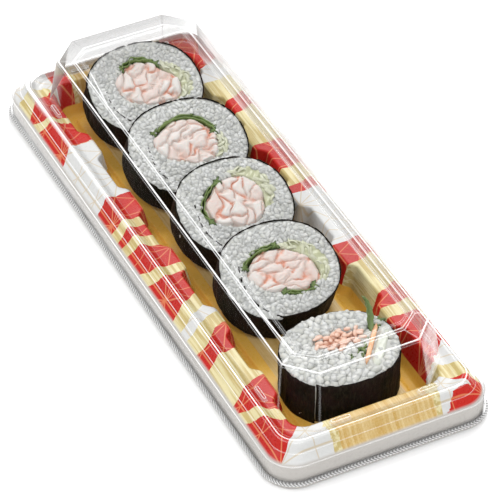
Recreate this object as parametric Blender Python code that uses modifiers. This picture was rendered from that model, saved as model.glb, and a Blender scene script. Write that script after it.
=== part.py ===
"""Takeaway sushi tray: a printed plastic tray with five slices of a thick sushi roll under a clear lid.

Units are metres, +Z is up and +Y runs to the back. The origin is on the table, below the tray's middle.
"""

import math

import bmesh
import bpy
from mathutils import Matrix, Vector

MM = 0.001
GAP = 0.3 * MM  # clearance between touching pieces
MIN_GAP_ANGLE = math.radians(1.5)

# Tray: half width, half length and height of its upper surface, from the rim's edge to the floor.
TRAY_WALL = 0.6 * MM
FLOOR_TOP = 1.7 * MM
FOOT_TOP = TRAY_WALL
LIP_TOP = 13.4 * MM
CREST_TOP = 14.95 * MM
LIP_HALF_WIDTH = 28.9 * MM
LIP_HALF_LENGTH = 103.4 * MM

# Waves pressed into the long walls: bulges towards the food, evenly spaced.
WAVE_PITCH = 36.0 * MM
WAVE_FIRST = -66.0 * MM
WAVE_COUNT = 5
WAVE_HALF_TOP = 5.5 * MM
WAVE_HALF_FOOT = 9.5 * MM
WAVE_DEPTH_LIP = 3.2 * MM
WAVE_DEPTH_FOOT = 2.4 * MM

# Lid: clear shell over the tray's rim, with an eight-sided dome.
LID_WALL = 0.5 * MM
LID_TOP = 34.6 * MM
SHOULDER = 34.1 * MM
DOME_FOOT = 14.3 * MM
FLANGE_HALF_WIDTH = 43.0 * MM
FLANGE_HALF_LENGTH = 118.0 * MM
FLANGE_TOP = 2.0 * MM

# Slices of roll.
NORI = 0.6 * MM
SLICE = 13.0 * MM
END_PIECE = 17.4 * MM
LEAN = math.radians(21)
SLICE_PITCH = 38.3 * MM
FIRST_SLICE_Y = 79.0 * MM
FLAP_STEPS = 8
TURN_STEPS = 38
CORE_STEPS = 22
ROUNDNESS = 2.25
LAYER_FULLNESS = 0.7
LAP = 1.2 * MM  # rise of the sheet's end over its own start
LOBE_END = math.radians(8)
WITHIN = 0.999  # keeps a layer's end points inside its own stretch
EDGE_ROOM = 0.1 * MM  # clearance below a leaning slice's lowest edge, besides GAP

COLOURS = {
    "tray": (0.62, 0.05, 0.03, 0.35),
    "lid": (0.93, 0.95, 0.95, 0.08),
    "nori": (0.018, 0.020, 0.014, 0.55),
    "rice": (0.70, 0.71, 0.66, 0.5),
    "seafood": (0.86, 0.62, 0.54, 0.45),
    "leaf": (0.13, 0.27, 0.05, 0.45),
    "cabbage": (0.66, 0.68, 0.38, 0.4),
    "carrot": (0.85, 0.30, 0.08, 0.4),
    "cucumber": (0.50, 0.64, 0.40, 0.35),
}
LID_ALPHA = 0.25
LID_IOR = 1.5


def clear_scene():
    for thing in list(bpy.data.objects):
        bpy.data.objects.remove(thing, do_unlink=True)


def make_material(name):
    red, green, blue, roughness = COLOURS[name]
    material = bpy.data.materials.new(name)
    material.use_nodes = True
    shader = material.node_tree.nodes["Principled BSDF"]
    shader.inputs["Base Color"].default_value = (red, green, blue, 1.0)
    shader.inputs["Roughness"].default_value = roughness
    if name == "lid":
        shader.inputs["Alpha"].default_value = LID_ALPHA
        shader.inputs["IOR"].default_value = LID_IOR
    return material


# ---------------------------------------------------------------- tray and lid


def corner(sign_x, sign_y, half_x, half_y, cut_x, cut_y, steps, rounded):
    """Points round one corner, from its +-X side to its +-Y side: a quarter ellipse or a straight chamfer."""
    points = []
    for i in range(steps + 1):
        t = i / steps
        if rounded:
            along_x = 1 - math.cos(t * math.pi / 2)
            along_y = 1 - math.sin(t * math.pi / 2)
        else:
            along_x = t
            along_y = 1 - t
        points.append((sign_x * (half_x - cut_x * along_x), sign_y * (half_y - cut_y * along_y)))
    return points


def ring(half_x, half_y, z, cut, rounded=True, cut_y=None, steps=4, side_y=(), end_x=(), depth=0.0):
    """One closed loop of points, anticlockwise: a rectangle whose corners are rounded or chamfered by cut.

    side_y and end_x are the extra stations along the long and the short sides. A station in side_y is
    (y, share), and the side is pressed inwards there by share * depth.
    """
    cut_y = cut_y or cut
    shape = (half_x, half_y, cut, cut_y, steps, rounded)
    right = [(half_x - share * depth, y) for y, share in side_y]
    left = [(-x, y) for x, y in reversed(right)]
    back = [(x, half_y) for x in reversed(end_x)]
    front = [(x, -half_y) for x in end_x]
    flat = (
        right
        + corner(1, 1, *shape)
        + back
        + corner(-1, 1, *shape)[::-1]
        + left
        + corner(-1, -1, *shape)
        + front
        + corner(1, -1, *shape)[::-1]
    )
    return [(x, y, z) for x, y in flat]


def loft(name, rings, material, wall):
    """A surface through rings of equal length, closed by a cap over the last one, with wall below it."""
    mesh = bpy.data.meshes.new(name)
    shape = bmesh.new()
    rows = [[shape.verts.new(point) for point in loop] for loop in rings]
    for outer, inner in zip(rows, rows[1:]):
        for i in range(len(outer)):
            j = (i + 1) % len(outer)
            shape.faces.new((outer[i], outer[j], inner[j], inner[i]))
    shape.faces.new(rows[-1])
    bmesh.ops.recalc_face_normals(shape, faces=shape.faces)
    shape.faces.ensure_lookup_table()
    if shape.faces[-1].normal.z < 0:
        bmesh.ops.reverse_faces(shape, faces=shape.faces)
    shape.to_mesh(mesh)
    shape.free()
    thing = bpy.data.objects.new(name, mesh)
    mesh.materials.append(material)
    skin = thing.modifiers.new("wall", "SOLIDIFY")
    skin.thickness = wall
    skin.offset = -1.0
    skin.use_even_offset = True
    skin.use_quality_normals = True
    return thing


def wave_stations():
    """Stations (y, share) along a long side: each bulge rises, stays level and falls."""
    stations = []
    for k in range(WAVE_COUNT):
        middle = WAVE_FIRST + k * WAVE_PITCH
        stations += [
            (middle - WAVE_HALF_FOOT, 0.0),
            (middle - WAVE_HALF_TOP, 1.0),
            (middle + WAVE_HALF_TOP, 1.0),
            (middle + WAVE_HALF_FOOT, 0.0),
        ]
    return stations


def make_tray(material):
    ends = (-12 * MM, 12 * MM)
    sides = wave_stations()
    plan = (
        # half width, half length, height, corner radius, wave depth
        (42.4 * MM, 117.4 * MM, 1.2 * MM, 11.4 * MM, 0.0),
        (41.3 * MM, 116.2 * MM, 1.2 * MM, 10.3 * MM, 0.0),
        (41.0 * MM, 115.9 * MM, 9.2 * MM, 10.0 * MM, 0.0),
        (38.0 * MM, 112.9 * MM, 11.9 * MM, 8.3 * MM, 0.0),
        (36.2 * MM, 111.1 * MM, CREST_TOP, 7.3 * MM, 0.0),
        (35.0 * MM, 109.8 * MM, CREST_TOP, 6.6 * MM, 0.0),
        (32.6 * MM, 107.3 * MM, LIP_TOP, 5.6 * MM, 0.0),
        (LIP_HALF_WIDTH, LIP_HALF_LENGTH, LIP_TOP, 6.0 * MM, WAVE_DEPTH_LIP),
        (25.4 * MM, 99.7 * MM, 1.7 * MM, 4.4 * MM, WAVE_DEPTH_FOOT),
        (24.6 * MM, 98.9 * MM, FOOT_TOP, 3.8 * MM, WAVE_DEPTH_FOOT),
        (21.7 * MM, 96.0 * MM, FOOT_TOP, 3.0 * MM, 0.0),
        (20.8 * MM, 95.1 * MM, FLOOR_TOP, 2.4 * MM, 0.0),
    )
    rings = [
        ring(half_x, half_y, z, cut, side_y=sides, end_x=ends, depth=depth)
        for half_x, half_y, z, cut, depth in plan
    ]
    return loft("tray", rings, material, TRAY_WALL)


def make_lid(material):
    rim = (
        # half width, half length, height, corner radius
        (FLANGE_HALF_WIDTH, FLANGE_HALF_LENGTH, FLANGE_TOP, 12.0 * MM),
        (42.2 * MM, 117.2 * MM, FLANGE_TOP, 11.2 * MM),
        (41.9 * MM, 116.8 * MM, 9.7 * MM, 11.0 * MM),
        (38.7 * MM, 113.6 * MM, 12.45 * MM, 9.0 * MM),
        (36.9 * MM, 111.8 * MM, 15.6 * MM, 8.0 * MM),
        (36.0 * MM, 110.8 * MM, 16.0 * MM, 7.5 * MM),
        (34.9 * MM, 109.7 * MM, 15.7 * MM, 6.8 * MM),
        (32.4 * MM, 107.1 * MM, DOME_FOOT, 5.8 * MM),
    )
    dome = (
        # half width, half length, height, chamfer along X, chamfer along Y
        (31.4 * MM, 106.0 * MM, DOME_FOOT, 10.4 * MM, 10.7 * MM),
        (29.0 * MM, 102.5 * MM, 33.5 * MM, 9.7 * MM, 9.9 * MM),
        (28.3 * MM, 101.8 * MM, SHOULDER, 9.4 * MM, 9.6 * MM),
        (23.7 * MM, 95.4 * MM, SHOULDER, 7.2 * MM, 5.8 * MM),
        (23.1 * MM, 94.7 * MM, LID_TOP, 7.0 * MM, 5.6 * MM),
    )
    rings = [ring(half_x, half_y, z, cut, steps=5) for half_x, half_y, z, cut in rim]
    rings += [
        ring(half_x, half_y, z, cut_x, rounded=False, cut_y=cut_y, steps=5)
        for half_x, half_y, z, cut_x, cut_y in dome
    ]
    return loft("lid", rings, material, LID_WALL)


# ---------------------------------------------------------------------- slices


def polar(radius, angle, centre=(0.0, 0.0)):
    return Vector((centre[0] + radius * math.cos(angle), centre[1] + radius * math.sin(angle)))


def oval(half_x, half_y, angle, power=2.0):
    """Radius of a superellipse at an angle."""
    across = abs(math.cos(angle) / half_x) ** power
    along = abs(math.sin(angle) / half_y) ** power
    return (across + along) ** (-1 / power)


def sheet_path(roll, start, end, steps):
    """Middle line of the nori between two angles of its spiral.

    From the flap's free end to the seam it runs inside the rice, as deep as flap_depth. From the seam
    on it goes once round the slice, and rises a little at the end, where it laps over the seam.
    """
    points = []
    for i in range(steps + 1):
        angle = start + (end - start) * i / steps
        radius = oval(roll["half_x"], roll["half_y"], angle, ROUNDNESS) - NORI / 2 - roll["lap"]
        share = (angle - roll["flap_start"]) / (roll["seam"] - roll["flap_start"])
        if share < 1:
            radius -= roll["flap_depth"] * (1 - share * share)
        last = (angle - roll["seam"] - math.pi) / math.pi
        if last > 0:
            radius += roll["lap"] * math.sin(last * math.pi / 2) ** 2
        points.append(polar(radius, angle))
    return points


def offset_line(points, distance):
    """The line shifted to its left by distance."""
    shifted = []
    for i, point in enumerate(points):
        ahead = points[min(i + 1, len(points) - 1)] - points[max(i - 1, 0)]
        shifted.append(point + distance * Vector((-ahead.y, ahead.x)).normalized())
    return shifted


def core_radius(core, angle):
    """Radius of the filling round its own middle: a turned oval with a few soft lobes."""
    turned = angle - core["turn"]
    lobes = 1 + core["lobes"] * math.cos(3 * turned + core["phase"])
    return oval(core["half_x"], core["half_y"], turned) * lobes


def layer_thickness(layer, angle):
    """Thickness of a layer that wraps part of the filling, thin at both its ends."""
    middle = (layer["start"] + layer["end"]) / 2
    half = (layer["end"] - layer["start"]) / 2
    share = abs((angle - middle + math.pi) % math.tau - math.pi) / half
    if share > 1:
        return 0.0
    return layer["thin"] + (layer["thick"] - layer["thin"]) * math.cos(share * math.pi / 2) ** LAYER_FULLNESS


def core_line(core, extra):
    """Closed line round the filling, extra(angle) outside it."""
    line = []
    for i in range(CORE_STEPS * 2):
        angle = math.pi * i / CORE_STEPS
        line.append(polar(core_radius(core, angle) + extra(angle), angle, core["centre"]))
    return line


def layer_outline(core, layer, steps=14):
    """Crescent between the filling and the rice."""
    inner = []
    outer = []
    middle = (layer["start"] + layer["end"]) / 2
    for i in range(steps + 1):
        away = (layer["end"] - layer["start"]) * (i / steps - 0.5)
        angle = middle + away
        radius = core_radius(core, angle) + GAP
        thickness = layer_thickness(layer, middle + away * WITHIN)
        inner.append(polar(radius, angle, core["centre"]))
        outer.append(polar(radius + thickness, angle, core["centre"]))
    return inner + outer[::-1]


def strip_outline(middle, angle, length, width, steps=4):
    """Straight strip with round ends."""
    points = []
    for side in (-1, 1):
        for i in range(steps + 1):
            turn = angle - (side + 1) * math.pi / 2 + math.pi * i / steps
            end = Vector(middle) + side * (length - width) / 2 * Vector((math.sin(angle), -math.cos(angle)))
            points.append(end + width / 2 * Vector((math.cos(turn), math.sin(turn))))
    return points


def prism(name, outlines, height, material, place):
    """Flat outlines, the later ones as holes in the first, raised to height and put in place."""
    curve = bpy.data.curves.new(name, "CURVE")
    curve.dimensions = "2D"
    curve.fill_mode = "BOTH"
    curve.extrude = height / 2
    for outline in outlines:
        spline = curve.splines.new("POLY")
        spline.points.add(len(outline) - 1)
        for point, corner_point in zip(spline.points, outline):
            point.co = (corner_point[0], corner_point[1], 0.0, 1.0)
        spline.use_cyclic_u = True
    curve.materials.append(material)
    thing = bpy.data.objects.new(name, curve)
    thing.matrix_world = place @ Matrix.Translation((0, 0, height / 2))
    return thing


def nori_outline(roll):
    line = sheet_path(roll, roll["flap_start"], roll["seam"], FLAP_STEPS)
    line += sheet_path(roll, roll["seam"], roll["seam"] + math.tau, TURN_STEPS)[1:]
    return offset_line(line, NORI / 2) + offset_line(line, -NORI / 2)[::-1]


def rice_outline(roll):
    """Everything inside the sheet, with a slit that holds the flap."""
    clear = NORI / 2 + GAP
    start = roll["flap_start"] - MIN_GAP_ANGLE
    stop = roll["seam"] - roll["lobe_end"]
    line = sheet_path(roll, start, roll["seam"], FLAP_STEPS)
    line += sheet_path(roll, roll["seam"], stop + math.tau, TURN_STEPS - 2)[1:]
    flap = sheet_path(roll, start, stop, FLAP_STEPS)
    return offset_line(line, clear) + offset_line(flap, -clear)[::-1]


def rolled_core(roll, layers):
    """Hole in the rice for the filling and the layers round it."""

    near = math.pi / CORE_STEPS

    def room(angle):
        widest = max(
            layer_thickness(layer, angle + shift) for layer in layers for shift in (-near, 0.0, near)
        )
        return GAP + (widest + GAP if widest > 0 else 0.0)

    return core_line(roll["core"], room)


def deg(*angles):
    found = tuple(math.radians(angle) for angle in angles)
    return found if len(found) > 1 else found[0]


def wrap(start, end, thin, thick):
    return {"start": deg(start), "end": deg(end), "thin": thin * MM, "thick": thick * MM}


def filling(x, y, half_x, half_y, turn, lobes, phase):
    return {
        "centre": (x * MM, y * MM),
        "half_x": half_x * MM,
        "half_y": half_y * MM,
        "turn": deg(turn),
        "lobes": lobes,
        "phase": phase,
    }


def spiral(half_x, half_y, flap_start, seam, flap_depth):
    return {
        "half_x": half_x * MM,
        "half_y": half_y * MM,
        "flap_start": deg(flap_start),
        "seam": deg(seam),
        "flap_depth": flap_depth * MM,
        "lap": LAP,
        "lobe_end": LOBE_END,
    }


SLICES = {
    "roll_1": {
        "x": 1.4 * MM,
        "roll": spiral(23.2, 20.6, 172, 262, 6.0),
        "core": filling(1.0, 0.6, 12.6, 9.4, -28, 0.05, 0.4),
        "leaf": wrap(48, 128, 0.5, 1.7),
        "cabbage": wrap(-48, 40, 0.5, 4.6),
    },
    "roll_2": {
        "x": 0.8 * MM,
        "roll": spiral(23.8, 20.6, 166, 250, 7.0),
        "core": filling(0.2, 1.2, 12.2, 9.6, -20, 0.06, 2.2),
        "leaf": wrap(2, 150, 0.5, 1.6),
        "cabbage": wrap(-50, -4, 0.5, 2.4),
    },
    "roll_3": {
        "x": 1.2 * MM,
        "roll": spiral(22.8, 20.6, 162, 245, 6.4),
        "core": filling(0.6, 0.8, 11.6, 10.2, 20, 0.05, 4.0),
        "leaf": wrap(108, 205, 0.5, 1.8),
        "cabbage": wrap(-30, 78, 0.5, 4.4),
    },
    "roll_4": {
        "x": -0.2 * MM,
        "roll": spiral(22.9, 20.4, 158, 247, 6.6),
        "core": filling(0.6, -1.0, 13.2, 8.8, -18, 0.05, 1.2),
        "leaf": wrap(82, 160, 0.5, 2.0),
        "cabbage": wrap(-36, 74, 0.5, 5.0),
        "leaf_low": wrap(-112, -48, 0.5, 1.4),
    },
}


def make_slice(name, sizes, y, materials):
    """One leaning slice: sheet, rice, filling and the layers that wrap the filling."""
    roll = {**sizes["roll"], "core": sizes["core"]}
    base = FLOOR_TOP + GAP + (roll["half_y"] + EDGE_ROOM) * math.sin(LEAN)
    face = Vector((sizes["x"], y, base + SLICE * math.cos(LEAN)))
    lean = Matrix.Rotation(LEAN, 4, "X")
    place = Matrix.Translation(face) @ lean @ Matrix.Translation((0, 0, -SLICE))
    layers = {key: value for key, value in sizes.items() if key.startswith(("leaf", "cabbage"))}
    middle = core_line(roll["core"], lambda angle: 0.0)
    shapes = {
        "nori": ([nori_outline(roll)], "nori"),
        "rice": ([rice_outline(roll), rolled_core(roll, layers.values())], "rice"),
        "seafood": ([middle], "seafood"),
    }
    for key, value in layers.items():
        shapes[key] = ([layer_outline(roll["core"], value)], key.split("_")[0])
    return [
        prism(f"{name}_{key}", lines, SLICE, materials[slot], place)
        for key, (lines, slot) in shapes.items()
    ]


# The end piece stands flat on the floor, cut face up, with its filling in two holes.
END_X = 0.9 * MM
END_Y = -79.6 * MM
END_ROLL = spiral(22.0, 19.4, 140, 218, 6.6)
END_CORE = filling(1.0, 3.6, 7.8, 4.0, -6, 0.04, 0.6)
STRIPS_MIDDLE = (11.0 * MM, -3.8 * MM)
STRIPS_TURN = deg(-38)
STRIPS_LENGTH = 22.0 * MM
STRIPS = {"leaf": (-3.2, 1.3), "carrot": (-1.1, 2.2), "cucumber": (2.2, 3.6)}
STRIPS_HOLE_WIDTH = 9.0 * MM
STRIP_TAPER = 1.3  # how much shorter a strip is for each unit of its distance from the middle one
BLADE_ROOT = 3.0 * MM  # depth below the cut face where the standing leaf tip leaves its strip
BLADE_FOOT = 7.5 * MM
BLADE_HEIGHT = 9.0 * MM
BLADE_OUT = 6.0 * MM
BLADE_CURL = 3.6 * MM
BLADE_FREE = 0.3
BLADE_TWIST = math.radians(75)
BLADE_HALF_WIDTH = 2.0 * MM
BLADE_HALF_THICK = 0.45 * MM
BLADE_NARROWS = 0.7
BLADE_THINS = 0.4
BLADE_STEPS = 8


def make_blade():
    """Leaf tip that stands up out of the end piece's cut face: a strip that turns, narrows and curls back."""
    across = Vector((math.sin(STRIPS_TURN), -math.cos(STRIPS_TURN), 0))
    side = Vector((math.cos(STRIPS_TURN), math.sin(STRIPS_TURN), 0))
    foot = Vector((*STRIPS_MIDDLE, END_PIECE - BLADE_ROOT))
    foot += side * STRIPS["leaf"][0] * MM - across * BLADE_FOOT
    mesh = bpy.data.meshes.new("blade")
    shape = bmesh.new()
    rows = []
    for i in range(BLADE_STEPS + 1):
        share = i / BLADE_STEPS
        free = max(0.0, (share - BLADE_FREE) / (1 - BLADE_FREE))
        middle = foot + Vector((0, 0, (BLADE_ROOT + BLADE_HEIGHT) * share))
        middle -= across * BLADE_OUT * math.sin(free * math.pi / 2) + side * BLADE_CURL * free**2
        turn = free * BLADE_TWIST
        wide = across * math.cos(turn) + side * math.sin(turn)
        thin = side * math.cos(turn) - across * math.sin(turn)
        wide *= BLADE_HALF_WIDTH * (1 - BLADE_NARROWS * share)
        thin *= BLADE_HALF_THICK * (1 - BLADE_THINS * share)
        rows.append(
            [
                shape.verts.new(middle + sign_w * wide + sign_t * thin)
                for sign_w, sign_t in ((-1, -1), (1, -1), (1, 1), (-1, 1))
            ]
        )
    for low, high in zip(rows, rows[1:]):
        for i in range(4):
            j = (i + 1) % 4
            shape.faces.new((low[i], low[j], high[j], high[i]))
    shape.faces.new(rows[0][::-1])
    shape.faces.new(rows[-1])
    bmesh.ops.recalc_face_normals(shape, faces=shape.faces)
    shape.to_mesh(mesh)
    shape.free()
    return bpy.data.objects.new("blade", mesh)


def curve_to_mesh(thing):
    """The same object as a mesh with its caps welded on, so that it takes a Boolean."""
    bpy.context.scene.collection.objects.link(thing)
    bpy.context.view_layer.update()
    graph = bpy.context.evaluated_depsgraph_get()
    mesh = bpy.data.meshes.new_from_object(thing.evaluated_get(graph))
    shape = bmesh.new()
    shape.from_mesh(mesh)
    bmesh.ops.remove_doubles(shape, verts=shape.verts, dist=0.00001)
    bmesh.ops.recalc_face_normals(shape, faces=shape.faces)
    shape.to_mesh(mesh)
    shape.free()
    name = thing.name
    place = thing.matrix_world.copy()
    bpy.data.objects.remove(thing, do_unlink=True)
    solid = bpy.data.objects.new(name, mesh)
    solid.matrix_world = place
    return solid


def make_end_piece(materials, cutters):
    roll = {**END_ROLL, "core": END_CORE}
    place = Matrix.Translation((END_X, END_Y, FLOOR_TOP + GAP))
    side = Vector((math.cos(STRIPS_TURN), math.sin(STRIPS_TURN)))
    hole = strip_outline(STRIPS_MIDDLE, STRIPS_TURN, STRIPS_LENGTH + 2 * GAP, STRIPS_HOLE_WIDTH, 8)
    middle = core_line(END_CORE, lambda angle: 0.0)
    room = core_line(END_CORE, lambda angle: GAP)
    pieces = [
        prism("roll_5_nori", [nori_outline(roll)], END_PIECE, materials["nori"], place),
        prism("roll_5_rice", [rice_outline(roll), room, hole], END_PIECE, materials["rice"], place),
        prism("roll_5_seafood", [middle], END_PIECE, materials["seafood"], place),
    ]
    for key, (shift, width) in STRIPS.items():
        length = STRIPS_LENGTH - abs(shift) * MM * STRIP_TAPER
        middle = Vector(STRIPS_MIDDLE) + side * shift * MM
        line = strip_outline(middle, STRIPS_TURN, length, width * MM)
        pieces.append(prism(f"roll_5_{key}", [line], END_PIECE, materials[key], place))
    leaf = curve_to_mesh(pieces[3])
    blade = make_blade()
    blade.matrix_world = place
    blade.hide_render = True
    blade.display_type = "WIRE"
    cutters.objects.link(blade)
    join = leaf.modifiers.new("blade", "BOOLEAN")
    join.operation = "UNION"
    join.object = blade
    pieces[3] = leaf
    return pieces


def main():
    clear_scene()
    parts = bpy.data.collections.new("takeaway_sushi_tray")
    cutters = bpy.data.collections.new("cutters")
    bpy.context.scene.collection.children.link(parts)
    bpy.context.scene.collection.children.link(cutters)
    materials = {name: make_material(name) for name in COLOURS}
    pieces = [make_tray(materials["tray"]), make_lid(materials["lid"])]
    for k, (name, sizes) in enumerate(SLICES.items()):
        pieces += make_slice(name, sizes, FIRST_SLICE_Y - k * SLICE_PITCH, materials)
    pieces += make_end_piece(materials, cutters)
    for piece in pieces:
        parts.objects.link(piece)


main()
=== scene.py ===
"""Dresses the takeaway sushi tray: a printed tray, five slices of a thick sushi roll and a clear shut lid.

Units are metres, +Z is up and +Y runs to the back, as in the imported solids. A shape is a dictionary of
numpy arrays: points, quads, tris and one array for each attribute that its material reads.
"""

import math

import bpy
import numpy as np
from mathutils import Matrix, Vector


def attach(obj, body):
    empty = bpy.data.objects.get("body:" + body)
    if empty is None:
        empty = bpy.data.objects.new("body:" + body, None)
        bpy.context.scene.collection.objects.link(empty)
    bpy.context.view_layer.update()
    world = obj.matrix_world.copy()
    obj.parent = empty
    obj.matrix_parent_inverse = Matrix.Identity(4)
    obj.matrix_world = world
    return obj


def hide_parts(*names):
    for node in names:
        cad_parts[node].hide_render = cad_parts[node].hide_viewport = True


MM = 0.001
TAU = math.tau

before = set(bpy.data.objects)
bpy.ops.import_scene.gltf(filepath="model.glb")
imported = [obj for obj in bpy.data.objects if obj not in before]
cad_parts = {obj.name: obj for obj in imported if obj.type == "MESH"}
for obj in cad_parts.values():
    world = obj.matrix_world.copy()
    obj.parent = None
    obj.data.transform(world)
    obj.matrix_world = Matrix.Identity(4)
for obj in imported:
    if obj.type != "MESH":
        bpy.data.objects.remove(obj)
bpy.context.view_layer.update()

# ------------------------------------------------------------------ shader maths


class Link:
    """A socket of one material. Arithmetic adds Math nodes, and node() adds any other node."""

    def __init__(self, tree, socket=None):
        self.tree = tree
        self.socket = socket

    def node(self, kind, settings=None, sockets=None, out=0):
        """Adds a node of this kind: its settings first, then the values or links of its sockets."""
        made = self.tree.nodes.new(kind)
        for key, value in (settings or {}).items():
            if key == "stops":
                ramp = made.color_ramp
                while len(ramp.elements) > 1:
                    ramp.elements.remove(ramp.elements[-1])
                ramp.elements[0].position = value[0][0]
                ramp.elements[0].color = (*value[0][1], 1.0)
                for place, colour in value[1:]:
                    ramp.elements.new(place).color = (*colour, 1.0)
            elif key == "steps":
                made.color_ramp.interpolation = value
            else:
                setattr(made, key, value)
        for key, value in (sockets or {}).items():
            if isinstance(value, Link):
                self.tree.links.new(value.socket, made.inputs[key])
            elif isinstance(value, tuple) and len(value) == 3 and made.inputs[key].type == "RGBA":
                made.inputs[key].default_value = (*value, 1.0)
            else:
                made.inputs[key].default_value = value
        return Link(self.tree, made.outputs[out])

    def maths(self, operation, *values):
        return self.node("ShaderNodeMath", {"operation": operation}, dict(enumerate(values)))

    def __add__(self, other):
        return self.maths("ADD", self, other)

    def __radd__(self, other):
        return self.maths("ADD", other, self)

    def __sub__(self, other):
        return self.maths("SUBTRACT", self, other)

    def __rsub__(self, other):
        return self.maths("SUBTRACT", other, self)

    def __mul__(self, other):
        return self.maths("MULTIPLY", self, other)

    def __rmul__(self, other):
        return self.maths("MULTIPLY", other, self)

    def __truediv__(self, other):
        return self.maths("DIVIDE", self, other)

    def __pow__(self, other):
        return self.maths("POWER", self, other)

    def __abs__(self):
        return self.maths("ABSOLUTE", self)

    def __mod__(self, other):
        return self.maths("FLOORED_MODULO", self, other)

    def above(self, level, soft=0.0):
        """1 where this value is over level and 0 below it, with a straight ramp of width soft between."""
        if soft == 0.0:
            return self.maths("GREATER_THAN", self, level)
        span = {"From Min": level - soft / 2, "From Max": level + soft / 2}
        return self.node("ShaderNodeMapRange", {"clamp": True}, {"Value": self, **span})

    def below(self, level, soft=0.0):
        return 1 - self.above(level, soft)

    def blend(self, first, second):
        """The first colour where this value is 0 and the second where it is 1."""
        return self.node("ShaderNodeMix", {"data_type": "RGBA"}, {0: self, 6: first, 7: second}, out=2)

    def attribute(self, name):
        return self.node("ShaderNodeAttribute", {"attribute_name": name}, out="Fac")

    def place(self):
        """The object coordinates in millimetres, as three numbers."""
        where = self.node("ShaderNodeTexCoord", out="Object")
        parts = self.node("ShaderNodeSeparateXYZ", sockets={0: where})
        others = [Link(self.tree, parts.socket.node.outputs[k]) for k in (1, 2)]
        return [part * 1000.0 for part in (parts, *others)]

    def spread(self, x, y, z):
        return self.node("ShaderNodeCombineXYZ", sockets={0: x, 1: y, 2: z})

    def clouds(self, where, scale, detail=3.0, rough=0.55, bend=0.0):
        """Noise from 0 to 1 at a place given in millimetres, scale being turns for each millimetre."""
        values = {"Vector": where, "Scale": scale, "Detail": detail, "Roughness": rough, "Distortion": bend}
        return self.node("ShaderNodeTexNoise", None, values)


def begin(name):
    """An empty material with its tree, ready for finish_paint."""
    paint = bpy.data.materials.new(name)
    paint.use_nodes = True
    paint.node_tree.nodes.clear()
    return paint, Link(paint.node_tree)


def principled(tree, colour, rough, height=None, depth=0.0, **more):
    """A Principled shader. height, in 0 to 1, is pressed into the surface by a Bump node of this depth."""
    sockets = {"Base Color": colour, "Roughness": rough, **more}
    if height is not None:
        bump = {"Height": height, "Distance": depth, "Strength": 1.0}
        sockets["Normal"] = tree.node("ShaderNodeBump", None, bump)
    return tree.node("ShaderNodeBsdfPrincipled", None, sockets)


def finish_paint(tree, shader):
    end = tree.tree.nodes.new("ShaderNodeOutputMaterial")
    tree.tree.links.new(shader.socket, end.inputs["Surface"])


# ------------------------------------------------------------------------ shapes


def grid_faces(rows, columns, wrap_rows=False, wrap_columns=True):
    """Quads between the neighbours of a grid of points, stored row by row."""
    row = np.arange(rows if wrap_rows else rows - 1)[:, None]
    column = np.arange(columns if wrap_columns else columns - 1)[None, :]
    next_row = (row + 1) % rows
    next_column = (column + 1) % columns
    corners = [
        row * columns + column,
        row * columns + next_column,
        next_row * columns + next_column,
        next_row * columns + column,
    ]
    return np.stack([corner + 0 * (row + column) for corner in corners], -1).reshape(-1, 4)


def surface(points, wrap_rows=False, wrap_columns=True, caps=(), **attributes):
    """A grid (rows, columns, 3) as a shape. caps names the rows, 0 and -1, that a fan to their middle closes."""
    rows, columns = points.shape[:2]
    flat = points.reshape(-1, 3)
    values = {key: np.broadcast_to(value, (rows, columns)).reshape(-1) for key, value in attributes.items()}
    tris = np.zeros((0, 3), int)
    for row in caps:
        start = 0 if row == 0 else (rows - 1) * columns
        ring = start + np.arange(columns)
        middle = np.full(columns, len(flat))
        fan = np.stack([ring, np.roll(ring, -1), middle], -1)
        tris = np.concatenate([tris, fan[:, ::-1] if row == 0 else fan])
        flat = np.concatenate([flat, flat[ring].mean(0, keepdims=True)])
        values = {key: np.append(value, value[ring].mean()) for key, value in values.items()}
    return {"points": flat, "quads": grid_faces(rows, columns, wrap_rows, wrap_columns), "tris": tris, **values}


def joined(shapes):
    """Several shapes as one. An attribute that a shape lacks is 0 on it."""
    starts = np.cumsum([0] + [len(shape["points"]) for shape in shapes])
    keys = {key for shape in shapes for key in shape} - {"points", "quads", "tris"}
    whole = {
        kind: np.concatenate([shape[kind] + start for shape, start in zip(shapes, starts)])
        for kind in ("quads", "tris")
    }
    whole["points"] = np.concatenate([shape["points"] for shape in shapes])
    for key in keys:
        whole[key] = np.concatenate([shape.get(key, np.zeros(len(shape["points"]))) for shape in shapes])
    return whole


def outward(shape):
    """The closed shape with its faces turned outwards, by the sign of its volume."""
    points = shape["points"] - shape["points"].mean(0)
    quads, tris = shape["quads"], shape["tris"]
    corners = np.concatenate([quads[:, :3], quads[:, [0, 2, 3]], tris])
    a, b, c = (points[corners[:, k]] for k in range(3))
    if np.einsum("ij,ij->i", a, np.cross(b, c)).sum() < 0:
        shape = {**shape, "quads": quads[:, ::-1], "tris": tris[:, ::-1]}
    return shape


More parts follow.
